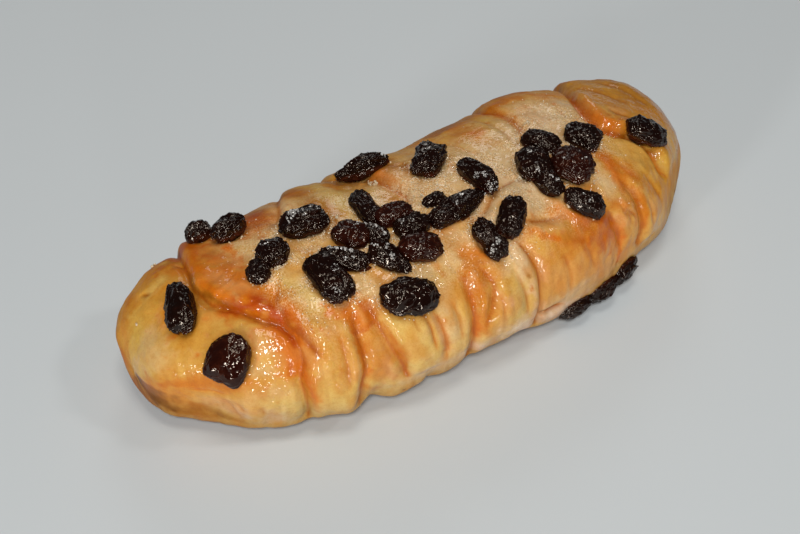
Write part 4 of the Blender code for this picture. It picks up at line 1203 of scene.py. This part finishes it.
@dataclass(frozen=True)
class CrustPainter:
    """Baked colours with painted light and shade, sugar, glaze and grit of each place on the crust.
    """

    crest: float = -0.08          # girth of the sugary band's middle
    dust_near: float = 0.36       # half width of the band on the near side
    dust_far: float = 0.28
    dust_end: float = 60.0        # where the sugar ends, along the loaf
    bare_spot: float = 0.8        # how much of the sugar a bare spot lacks
    glaze_and_shade_halo: float = 0.45            # how brown the crust is around a raisin: browned glaze pooled there and painted shade between the raisins
    creamier: tuple = (0.06, 0.0, -0.16)  # shares of red, green and blue taken from pale crust
    deeper: tuple = (0.0, 0.06, 0.35)     # from browned crust
    shadow: tuple = (0.24, 0.20, -0.08)   # and low on the near side
    worn: float = 0.92            # share of the glaze that its dull places lack

    @staticmethod
    def blend(colour: np.ndarray, tint: Tint, share: np.ndarray) -> np.ndarray:
        """Lay a colour over others.

        Args:
            colour: rows of linear colour.
            tint: the colour laid over them.
            share: how much it covers each row.

        Returns:
            The new rows.
        """
        share = np.clip(share, 0.0, 1.0)[:, None]
        return colour * (1.0 - share) + tint.linear() * share

    def ground(self, skin: Skin) -> np.ndarray:
        """Golden crust, with a darker far side and a brown sole."""
        drift = perlin(skin.points, 9.0, 3.0)
        colour = np.repeat(GOLD.linear()[None, :], len(skin.points), axis=0)
        far = smooth_step((skin.girth - 0.3 + 0.2 * drift) / 0.5)
        colour = self.blend(colour, HONEY, far)
        sole = smooth_step((np.abs(skin.girth) - 1.3 + 0.1 * drift) / 0.35)
        colour = self.blend(colour, BROWN, sole)
        return self.blend(colour, AMBER, 0.8 * far * smooth_step(drift * 2.5))

    def brush(self, colour: np.ndarray, skin: Skin) -> np.ndarray:
        """Lay the strokes, some of them painted light and shade, and the colour of the folds over
        the ground, with uneven edges: pooled glaze and painted shade along the folds.

        Args:
            colour: rows of linear colour.
            skin: the loaf's crust.

        Returns:
            The new rows.
        """
        wobble = 1.0 + 0.8 * perlin(skin.points, 4.0, 5.0) + 0.6 * perlin(skin.points, 1.5, 8.0)
        for stroke in STROKES:
            gap = near_line(stroke.path, skin.spots).gap
            share = np.exp(-(gap * wobble / stroke.reach) ** stroke.edge) * stroke.strength
            colour = self.blend(colour, stroke.tint, share)
        for fold in FOLDS + CREASES:
            near = near_line(fold.path, skin.spots)
            # the colour runs further on the side under the lip: pooled glaze and painted shade
            # under the flap
            under = np.where(near.raised(fold), 0.35, 1.0)
            share = np.exp(-near.gap * wobble / (fold.reach * under)) * fold.glow
            colour = self.blend(colour, fold.tint, share * near.fade(3.0))
            # a dark line in each crease, as deep as the crease: browned glaze and painted shade
            line = bell(near.gap, 0.5) * min(0.75, 0.8 * fold.depth)
            colour = self.blend(colour, RUST, line * near.fade(4.0))
        return colour

    def halo_streaks_and_blotches(self, colour: np.ndarray, skin: Skin) -> np.ndarray:
        """Brown the crust around the raisins with pooled glaze and painted shade, and streak and
        blotch its bare parts.

        Args:
            colour: rows of linear colour.
            skin: the loaf's crust.

        Returns:
            The new rows.
        """
        points = skin.points
        # browned glaze and painted shade on the crust around the raisins
        glaze_and_shade_halo = bell(skin.nearest_raisin - 1.0, 0.22) * self.glaze_and_shade_halo
        colour = self.blend(colour, BROWN, glaze_and_shade_halo * (1.0 + 1.5 * perlin(points, 4.0, 25.0)))
        streaks = perlin(points * (1.0, 0.2, 0.2), 1.1, 14.0)
        streaks += 0.8 * perlin(points * (1.0, 0.35, 0.35), 2.6, 15.0)
        bare = smooth_step((np.abs(skin.girth - self.crest) - 0.25) / 0.3)
        colour = colour * (1.0 + 0.15 * bare * streaks)[:, None] ** (0.7, 1.0, 1.5)
        blotches = patches(points * (1.0, 0.6, 0.6), 4.5, 21.0, -0.1)
        colour = self.blend(colour, AMBER, 0.3 * bare * blotches)
        return self.blend(colour, PINK, 0.12 * bare * patches(points, 4.4, 22.0, -0.2))

    def tone(self, colour: np.ndarray, skin: Skin) -> np.ndarray:
        """Make pale crust creamier, browned crust deeper and the low near side darker.

        Args:
            colour: rows of linear colour.
            skin: the loaf's crust.

        Returns:
            The new rows.
        """
        light = smooth_step((colour[:, 1:2] - 0.08) / 0.36)
        colour = colour * (1.0 - light * self.creamier)
        colour = colour * (1.0 - (1.0 - light) * self.deeper)
        low = smooth_step((-skin.girth - 0.9) / 0.35)
        return colour * (1.0 - low[:, None] * self.shadow)

    def paint(self, skin: Skin) -> np.ndarray:
        """Baked colours of the crust, with painted light and shade laid in.

        Args:
            skin: the loaf's crust.

        Returns:
            Rows of linear colour.
        """
        colour = self.brush(self.ground(skin), skin)
        colour = self.tone(self.halo_streaks_and_blotches(colour, skin), skin)
        dust = self.dusting(skin)
        sugary = patches(skin.points, 2.6, 23.0, 0.1)
        colour = self.blend(colour, SUGAR, 0.60 * dust * sugary)
        toasted = patches(skin.points, 2.2, 24.0, -0.3)
        return self.blend(colour, HONEY, 0.4 * dust * toasted)

    def dusting(self, skin: Skin) -> np.ndarray:
        """How sugary the crust is, from 0 to 1."""
        width = np.where(skin.girth > self.crest, self.dust_far, self.dust_near)
        across = bell(skin.girth - self.crest, width)
        patchy = smooth_step(0.75 + 1.4 * perlin(skin.points, 6.0, 9.0))
        for spot in BARE_SPOTS:
            patchy = patchy * (1.0 - self.bare_spot * skin.disc(*spot))
        return across * patchy * smooth_step((self.dust_end - np.abs(skin.along)) / 10.0)

    def glazing(self, skin: Skin) -> np.ndarray:
        """How glazed the crust is: less on the far side, underneath and low on the right end."""
        far = smooth_step((skin.girth - 0.05) / 0.3)
        sole = smooth_step((-skin.girth - 1.0) / 0.3)
        tip = smooth_step((skin.along - 58.0) / 12.0) * smooth_step((-skin.girth - 0.55) / 0.3)
        return 1.0 - self.worn * np.maximum(np.maximum(far, sole), tip)

    @staticmethod
    def grit(skin: Skin) -> np.ndarray:
        """How grainy the glaze is, from 0 to 1."""
        total = 0.25 + 0.3 * perlin(skin.points, 7.0, 11.0)
        for patch in GLITTERS:
            total += patch.strength * skin.disc(patch.along, patch.girth, patch.reach)
        return np.clip(total, 0.0, 1.0)

    @staticmethod
    def borders(skin: Skin) -> np.ndarray:
        """1 on the ring of crust around each raisin that catches sugar, and 0 elsewhere."""
        return np.exp(-np.abs(skin.nearest_raisin - 1.12) / 0.10)


@dataclass
class Loaf:
    """The bread itself, modelled finely and painted with its baked colours and with painted light
    and shade.
    """

    form: LoafForm
    finish: CrustFinish
    painter: CrustPainter
    rings: int = 390
    segments: int = 255
    shoulder: float = -0.6        # girth of the line along which the rings are even
    sole_from: float = 1.45       # girth at which the sole begins
    sole_weight: float = 0.45     # how close its segments are, to those above
    crisper: float = 0.3          # how much deeper the folds are than in the solid
    stripe_height: float = 0.10   # of the fine stripes down the near side
    name: str = "loaf"

    @staticmethod
    def even_steps(curve: np.ndarray, weight: np.ndarray, shares: np.ndarray) -> np.ndarray:
        """Find even steps of a curve's weighted length.

        Args:
            curve: points along the curve.
            weight: weight of each piece between them.
            shares: the shares of its whole length to find.

        Returns:
            The fractions of the curve's points at those shares.
        """
        steps = np.linalg.norm(np.diff(curve, axis=0), axis=1) * weight
        length = np.concatenate([[0.0], np.cumsum(steps)])
        return np.interp(shares * length[-1], length, np.linspace(0.0, 1.0, len(length)))

    def ring_places(self, shares: np.ndarray) -> np.ndarray:
        """Distances along the loaf of rings at even steps over its shoulder."""
        turn = np.linspace(0.0, math.pi, CURVE_STEPS + 1)
        along = -self.form.length / 2 * np.cos(turn)
        curve = self.form.point(along, np.full_like(along, self.shoulder))
        place = self.even_steps(curve, np.ones(CURVE_STEPS), shares)
        return -self.form.length / 2 * np.cos(math.pi * place)

    def girth_places(self, shares: np.ndarray) -> np.ndarray:
        """Girths at even steps around the middle section, sparser on the sole."""
        girth = np.linspace(-2.0, 2.0, CURVE_STEPS + 1)
        curve = self.form.point(np.zeros_like(girth), girth)
        middle = 0.5 * (girth[1:] + girth[:-1])
        weight = np.where(np.abs(middle) > self.sole_from, self.sole_weight, 1.0)
        return 4.0 * self.even_steps(curve, weight, shares) - 2.0

    def dimple(self, raisin: Raisin, points: np.ndarray) -> tuple:
        """Hollow that a raisin presses into the crust.

        Args:
            raisin: the raisin.
            points: the crust's points.

        Returns:
            The rise at each point, and its distance from the raisin's middle as a share.
        """
        origin, heading, beside, normal = self.form.axes(raisin)
        rel = points - origin
        reach = np.sqrt((rel @ heading / (raisin.length / 2)) ** 2
                        + (rel @ beside / (raisin.width / 2)) ** 2)
        near = np.abs(rel @ normal) < NOWHERE_NEAR
        hollow = -raisin.sunk * np.clip(1.0 - reach ** 2.0, 0.0, 1.0)
        rim = 0.15 * bell(reach - 1.25, 0.25)
        return np.where(near, hollow + rim, 0.0), np.where(near, reach, NOWHERE_NEAR)

    @staticmethod
    def pucker(crumple: Crumple, skin: Skin) -> np.ndarray:
        """Rise of the fine ridges of one puckered patch.

        Args:
            crumple: the patch.
            skin: the loaf's crust.

        Returns:
            The rise at each place.
        """
        turn = math.radians(crumple.turn)
        away = skin.away(crumple.along, crumple.girth)
        run = away @ np.array([math.cos(turn), math.sin(turn)])
        beside = away @ np.array([-math.sin(turn), math.cos(turn)])
        fade = np.exp(-(run / crumple.reach / 1.3) ** 2 - (beside / crumple.reach) ** 2)
        close = fade > 0.01
        rise = np.zeros(len(fade))
        place = np.stack([run / 3.5, beside, np.full_like(run, crumple.along)], -1)[close]
        ridge = 1.0 - 2.6 * np.abs(perlin(place, crumple.wave * 1.4, crumple.girth))
        rise[close] = crumple.height * ridge * fade[close]
        return rise

    def fine_relief(self, skin: Skin, normals: np.ndarray) -> np.ndarray:
        """Rise of what the solid leaves out: creases, puckers and the crust's own unevenness.

        Args:
            skin: the loaf's crust.
            normals: its normals.

        Returns:
            The rise at each place.
        """
        rise = 0.30 * perlin(skin.points, 5.0, 1.0) + 0.15 * perlin(skin.points, 2.2, 2.0)
        for share, folds in ((self.crisper, FOLDS), (1.0, CREASES)):
            for fold in folds:
                rise += share * self.form.fold_rise(fold, near_line(fold.path, skin.spots))
        for crumple in CRUMPLES:
            rise += self.pucker(crumple, skin)
        stripes = skin.points * (1.0, 0.16, 0.16)
        near_side = smooth_step((-skin.girth - 0.35) / 0.3) * smooth_step((1.4 + skin.girth) / 0.2)
        rise += self.stripe_height * near_side * perlin(stripes, 1.3, 6.0)
        return rise * smooth_step(1.4 - np.abs(normals[:, 0]))

    def shape(self, loaf: bpy.types.Object) -> Skin:
        """Bend a ball into the loaf.

        Args:
            loaf: the ball, with its poles up and down.

        Returns:
            The loaf's crust.
        """
        mesh = loaf.data
        place = read_points(mesh)
        place /= np.linalg.norm(place, axis=1)[:, None]
        polar = np.arccos(np.clip(-place[:, 2], -1.0, 1.0)) / math.pi
        turn = np.arctan2(place[:, 1], place[:, 0])
        along = self.ring_places(polar)
        girth = self.girth_places((turn / math.pi + 1.0) / 2.0)
        write_points(mesh, self.form.point(along, girth))
        bpy.ops.object.mode_set(mode="EDIT")
        bpy.ops.mesh.select_all(action="SELECT")
        bpy.ops.mesh.normals_make_consistent(inside=False)
        bpy.ops.object.mode_set(mode="OBJECT")
        points = read_points(mesh)
        normals = read_normals(mesh)
        rise = self.form.relief(along, girth)
        nearest = np.full(len(points), NOWHERE_NEAR)
        for raisin in RAISINS:
            hollow, reach = self.dimple(raisin, points)
            rise += hollow
            nearest = np.minimum(nearest, reach)
        skin = Skin(along, girth, points, nearest)
        rise += self.fine_relief(skin, normals)
        points = points + normals * rise[:, None]
        points[:, 2] = np.maximum(points[:, 2], SOLE_CUT)
        write_points(mesh, points)
        return skin

    def build(self) -> bpy.types.Object:
        """Model and paint the loaf.

        Returns:
            The loaf, in millimetres.
        """
        loaf = add_mesh(bpy.ops.mesh.primitive_uv_sphere_add, self.name,
                        segments=self.segments, ring_count=self.rings, radius=1.0)
        mesh = loaf.data
        skin = self.shape(loaf)
        colour = self.painter.paint(skin)
        tint = mesh.attributes.new("tint", "FLOAT_COLOR", "POINT")
        tint.data.foreach_set("color", np.insert(colour, 3, 1.0, axis=1).ravel())
        write_values(mesh, "dust", self.painter.dusting(skin))
        write_values(mesh, "grit", self.painter.grit(skin))
        write_values(mesh, "glaze", self.painter.glazing(skin))
        write_values(mesh, "border", self.painter.borders(skin))
        mesh.shade_smooth()
        mesh.materials.append(self.finish.build())
        return loaf


@dataclass
class RaisinMaker:
    """Models each raisin as a shrivelled skin over its plump form."""

    form: LoafForm
    dark: RaisinFinish
    ruddy: RaisinFinish
    subdivisions: int = 6
    plump: float = 1.075          # size on the crests of the skin, as a share of the solid's
    wrinkle: float = 0.18         # how deep its folds are, as shares of its half sizes
    lump: float = 0.13
    crinkle: float = 0.03
    waist_width: float = 0.28

    @staticmethod
    def creases(unit: np.ndarray, order: int) -> np.ndarray:
        """How far the skin falls in at each point.

        Args:
            unit: rows of three on the unit ball.
            order: the raisin's number, which makes its pattern its own.

        Returns:
            A share from 0 on the crests to 1 in the deepest folds.
        """
        seed = order + 1.0
        warp = np.stack([perlin(unit, 0.8, seed + shift) for shift in (0.1, 0.4, 0.7)], -1)
        bent = unit + 0.45 * warp
        ridge = np.exp(-np.abs(perlin(bent * (0.7, 1.25, 1.25), 0.75, seed)) / 0.11)
        uneven = smooth_step(0.6 + 1.6 * perlin(unit, 0.7, seed + 0.9))
        small = np.exp(-np.abs(perlin(bent, 0.38, seed + 0.2)) / 0.12)
        return 1.0 - np.clip(0.7 * ridge * uneven + 0.45 * small, 0.0, 1.0)

    def outline(self, unit: np.ndarray, raisin: Raisin) -> np.ndarray:
        """The plump raisin before its skin shrivels.

        Args:
            unit: rows of three on the unit ball.
            raisin: the raisin.

        Returns:
            Rows of three, as shares of its half sizes.
        """
        power = 2.0 + 2.2 * raisin.square
        flat = np.hypot(unit[:, 0], unit[:, 1]) + TINY
        rounded = (np.abs(unit[:, 0]) ** power + np.abs(unit[:, 1]) ** power) ** (1.0 / power)
        shape = unit.copy()
        shape[:, :2] *= (flat / (rounded + TINY))[:, None]
        run = shape[:, 0].copy()
        girdle = 1.0 - raisin.taper * run
        girdle *= 1.0 - raisin.pinch * bell(run - raisin.waist, self.waist_width)
        shape[:, 1:] *= girdle[:, None]
        shape[:, 1] += raisin.bend * (run ** 2 - 0.3) / (raisin.width / 2)
        return shape

    def build_one(self, order: int, raisin: Raisin,
                  material: bpy.types.Material) -> bpy.types.Object:
        """Model one raisin in its place.

        Args:
            order: its number, from 0.
            raisin: its sizes and place.
            material: its skin's material.

        Returns:
            The raisin, in millimetres.
        """
        piece = add_mesh(bpy.ops.mesh.primitive_ico_sphere_add,
                         f"plump_raisin_{order + 1:02d}", subdivisions=self.subdivisions,
                         radius=1.0)
        mesh = piece.data
        unit = read_points(mesh)
        unit /= np.linalg.norm(unit, axis=1)[:, None]
        fall = self.creases(unit, order)
        lumps = perlin(unit, 0.55, order + 5.0)
        crinkle = perlin(unit, 0.22, order + 3.0)
        size = (self.plump - self.wrinkle * raisin.wrinkle * fall + self.lump * lumps
                + self.crinkle * raisin.grain * crinkle)
        shape = self.outline(unit, raisin) * size[:, None]
        local = shape * (raisin.length / 2, raisin.width / 2, raisin.height / 2)
        origin, heading, beside, normal = self.form.axes(raisin)
        centre = origin + normal * (raisin.height / 2 - raisin.sunk)
        points = (centre + local[:, :1] * heading + local[:, 1:2] * beside
                  + local[:, 2:] * normal)
        write_points(mesh, points)
        write_values(mesh, "ridge", 1.0 - fall)
        # where the painted glow of light through the thin skin lies: low down, next to the crust
        write_values(mesh, "rim", smooth_step((0.15 - unit[:, 2]) / 0.5))
        write_values(mesh, "grain", np.full(len(unit), min(1.0, 0.7 * raisin.grain)))
        mesh.shade_smooth()
        mesh.materials.append(material)
        return piece

    def build(self) -> list:
        """Model all raisins.

        Returns:
            The raisins in the order of their nodes.
        """
        dark = self.dark.build()
        ruddy = self.ruddy.build()
        return [self.build_one(order, raisin, ruddy if raisin.ruddy else dark)
                for order, raisin in enumerate(RAISINS)]


@dataclass
class SugarSprinkler:
    """Sticks sugar grains to the crust and the raisins, all as one piece."""

    form: LoafForm
    finish: SugarFinish
    crust_grains: int = 2200
    crust_size: float = 0.26
    border_grains: int = 900      # grains caught around the raisins
    border_size: float = 0.36
    lump_size: float = 0.55
    frost_share: float = 1.7      # grains on a raisin for each one counted in its frost
    frost_size: float = 0.68      # and how large they are
    proud: float = 0.25           # how far a grain's middle is off the surface, in its sizes
    wear: float = 0.16            # of a grain's edges, in its sizes
    seed: int = 11
    name: str = "sugar_grains"
    chance: random.Random = field(init=False)
    places: list = field(default_factory=list)

    def __post_init__(self) -> None:
        """Seed the sprinkling."""
        self.chance = random.Random(self.seed)

    def drop(self, points: np.ndarray, normals: np.ndarray, weights: np.ndarray, count: int,
             size: float, frost: float = 0.0) -> None:
        """Let grains fall on a surface.

        Args:
            points: the surface's points.
            normals: its normals.
            weights: how likely each point is to get a grain.
            count: number of grains.
            size: their mean size.
            frost: 0 for creamy grains, 1 for clear ones.
        """
        if weights.sum() <= 0.0:
            log.warning("no place for %d sugar grains", count)
            return
        ladder = np.cumsum(weights)
        for _ in range(count):
            index = int(np.searchsorted(ladder, self.chance.random() * ladder[-1]))
            grain = size * self.chance.uniform(0.65, 1.3)
            place = points[index] + normals[index] * grain * self.proud
            self.places.append((place, grain, frost))

    def dust_crust(self, loaf: bpy.types.Object) -> None:
        """Sprinkle the crust where it is dusted, and at its lumps of sugar."""
        mesh = loaf.data
        points = read_points(mesh)
        normals = read_normals(mesh)
        dust = read_values(mesh.attributes["dust"].data, "value")
        border = read_values(mesh.attributes["border"].data, "value")
        self.drop(points, normals, dust ** 2, self.crust_grains, self.crust_size)
        self.drop(points, normals, dust * border ** 2, self.border_grains, self.border_size)
        for along, girth, reach, count in LUMPS:
            origin = self.form.stand(along, girth)[0]
            away = ((points - origin) ** 2).sum(axis=1)
            self.drop(points, normals, (away < reach ** 2).astype(float), count,
                      self.lump_size)

    def frost_raisins(self, raisins: list) -> None:
        """Stick grains to the tops of the raisins that have some."""
        for frost in FROSTS:
            raisin = RAISINS[frost.raisin - 1]
            mesh = raisins[frost.raisin - 1].data
            points = read_points(mesh)
            normals = read_normals(mesh)
            origin, heading, beside, up = self.form.axes(raisin)
            rel = points - origin
            facing_up = normals @ up > 0.2
            count = round(frost.count * self.frost_share)
            for run, aside in frost.spots:
                away = (rel @ heading - run * raisin.length / 2) ** 2
                away = away + (rel @ beside - aside * raisin.width / 2) ** 2
                weights = np.exp(-away / (0.5 * frost.reach ** 2)) * facing_up
                weights[away > (2.0 * frost.reach) ** 2] = 0.0
                self.drop(points, normals, weights, count, frost.size * self.frost_size, 1.0)

    def build(self, loaf: bpy.types.Object, raisins: list) -> bpy.types.Object:
        """Make all grains.

        Args:
            loaf: the loaf, in millimetres.
            raisins: the raisins, in millimetres.

        Returns:
            The grains as one piece, in millimetres.
        """
        self.dust_crust(loaf)
        self.frost_raisins(raisins)
        grains = add_mesh(bpy.ops.mesh.primitive_cube_add, self.name, size=1.0)
        bevel = grains.modifiers.new("worn_edges", "BEVEL")
        bevel.width = self.wear
        bpy.ops.object.modifier_apply(modifier=bevel.name)
        shape = read_points(grains.data)
        sides = [tuple(side.vertices) for side in grains.data.polygons]
        corners = []
        faces = []
        for place, size, _ in self.places:
            tumble = Euler([self.chance.uniform(0.0, math.tau) for _ in range(3)]).to_matrix()
            stretch = np.array([self.chance.uniform(0.7, 1.2) for _ in range(3)]) * size
            start = len(corners) * len(shape)
            corners.append((shape * stretch) @ np.array(tumble).T + place)
            faces.extend(tuple(start + index for index in side) for side in sides)
        mesh = bpy.data.meshes.new(self.name)
        mesh.from_pydata(np.concatenate(corners).tolist(), [], faces)
        write_values(mesh, "frost", np.repeat([item[2] for item in self.places], len(shape)))
        grains.data = mesh
        mesh.materials.append(self.finish.build())
        return grains


@dataclass
class Frame:
    """Moves pieces from the loaf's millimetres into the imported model's metres."""

    shift: Vector

    @classmethod
    def fitted(cls, loaf: bpy.types.Object) -> "Frame":
        """Find the shift that puts the loaf on its solid.

        Args:
            loaf: the loaf, in millimetres.

        Returns:
            The frame.
        """
        low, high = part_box("bread")
        points = read_points(loaf.data)
        centre = (points.min(axis=0) + points.max(axis=0)) / 2
        middle = (low + high) / 2
        return cls(Vector((middle.x / MM - centre[0], middle.y / MM - centre[1], -SOLE_CUT)))

    def place(self, piece: bpy.types.Object, slot: str, *nodes: str) -> None:
        """Put a piece into the frame and let it ride on the body.

        Args:
            piece: the piece, in millimetres.
            slot: not used.
            nodes: the solids that it stands for.
        """
        points = (read_points(piece.data) + np.array(self.shift)) * MM
        write_points(piece.data, points)
        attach(piece, BODY)
        if nodes:
            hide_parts(*nodes)
        log.info("%s: %d vertices", piece.name, len(piece.data.vertices))


@dataclass(frozen=True)
class Lamp:
    """A soft square lamp aimed at the loaf."""

    name: str
    azimuth: float            # degrees from -Y, positive towards +X
    elevation: float
    size: float
    power: float
    colour: tuple = (1.0, 0.98, 0.95)
    distance: float = 1.6


@dataclass(frozen=True)
class Studio:
    """Pale floor, soft lamps and the camera at the photograph's angle."""

    azimuth: float = -32.94
    elevation: float = 42.3
    roll: float = -2.69
    distance: float = 0.4894
    lens: float = 75.0
    sensor: float = 36.0
    near_clip: float = 0.01
    aim: tuple = (-0.00113, 0.0159, -0.0009)
    floor_side: float = 6.0
    sky: tuple = (0.80, 0.84, 0.88, 1.0)
    sky_strength: float = 0.06
    lit: tuple = (0.0, 0.0, 0.02)     # the point that the lamps are aimed at
    lamps: tuple = (
        Lamp("key_lamp", -34.0, 48.0, 0.25, 13.8, (0.98, 0.97, 0.935)),
        Lamp("glint_lamp", -26.0, 3.0, 0.18, 6.0),
        Lamp("high_lamp", -20.0, 80.0, 0.45, 5.5, (1.0, 0.96, 0.88)),
        Lamp("left_lamp", -68.0, 14.0, 0.18, 6.5),
        Lamp("right_lamp", 50.0, 48.0, 0.16, 2.5),
        Lamp("back_lamp", 146.0, 32.0, 0.50, 2.5),
    )

    @staticmethod
    def toward(azimuth: float, elevation: float) -> Vector:
        """Direction from the loaf to something."""
        turn = math.radians(azimuth)
        lift = math.radians(elevation)
        return Vector((math.sin(turn) * math.cos(lift), -math.cos(turn) * math.cos(lift),
                       math.sin(lift)))

    @staticmethod
    def link(name: str, data: bpy.types.ID) -> bpy.types.Object:
        """Put a lamp or a camera into the scene."""
        item = bpy.data.objects.new(name, data)
        bpy.context.scene.collection.objects.link(item)
        return item

    def build_floor(self) -> None:
        """Lay the floor at the loaf's sole."""
        floor = add_mesh(bpy.ops.mesh.primitive_plane_add, "floor", size=self.floor_side,
                         location=(0, 0, 0))
        floor.data.materials.append(FloorFinish().build())

    def build_lamps(self) -> None:
        """Hang the lamps."""
        for lamp in self.lamps:
            data = bpy.data.lights.new(lamp.name, "AREA")
            data.size = lamp.size
            data.energy = lamp.power
            data.color = lamp.colour
            item = self.link(lamp.name, data)
            way = self.toward(lamp.azimuth, lamp.elevation)
            item.location = Vector(self.lit) + way * lamp.distance
            item.rotation_euler = way.to_track_quat("Z", "Y").to_euler()

    def build_sky(self) -> None:
        """Light the sky softly."""
        world = bpy.data.worlds.new("soft_sky")
        world.use_nodes = True
        sky = world.node_tree.nodes["Background"]
        sky.inputs["Color"].default_value = self.sky
        sky.inputs["Strength"].default_value = self.sky_strength
        bpy.context.scene.world = world

    def build_camera(self) -> None:
        """Set the camera at the photograph's viewing angle."""
        data = bpy.data.cameras.new("camera")
        data.lens = self.lens
        data.sensor_width = self.sensor
        data.clip_start = self.near_clip
        camera = self.link("camera", data)
        back = self.toward(self.azimuth, self.elevation)
        right = Vector((0.0, 0.0, 1.0)).cross(back).normalized()
        up = back.cross(right)
        roll = math.radians(self.roll)
        rolled_right = math.cos(roll) * right + math.sin(roll) * up
        rolled_up = math.cos(roll) * up - math.sin(roll) * right
        turn = Matrix((rolled_right, rolled_up, back)).transposed().to_4x4()
        place = Vector(self.aim) + back * self.distance
        camera.matrix_world = Matrix.Translation(place) @ turn
        bpy.context.scene.camera = camera

    def build(self) -> None:
        """Make the whole studio."""
        self.build_floor()
        self.build_lamps()
        self.build_sky()
        self.build_camera()
        bpy.context.scene.view_settings.view_transform = "Standard"


def main() -> None:
    """Build the loaf, its raisins, its sugar and the studio."""
    logging.basicConfig(level=logging.INFO, format="%(message)s")
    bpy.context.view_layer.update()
    form = LoafForm()
    loaf = Loaf(form, CrustFinish(), CrustPainter()).build()
    raisins = RaisinMaker(form, DARK_RAISIN, RUDDY_RAISIN).build()
    sugar = SugarSprinkler(form, SugarFinish()).build(loaf, raisins)
    place = Frame.fitted(loaf)
    place.place(loaf, "crust", "bread")
    for order, piece in enumerate(raisins):
        place.place(piece, "raisin", f"raisin_{order + 1:02d}")
    place.place(sugar, "crust")
    Studio().build()


if __name__ == "__main__":
    main()
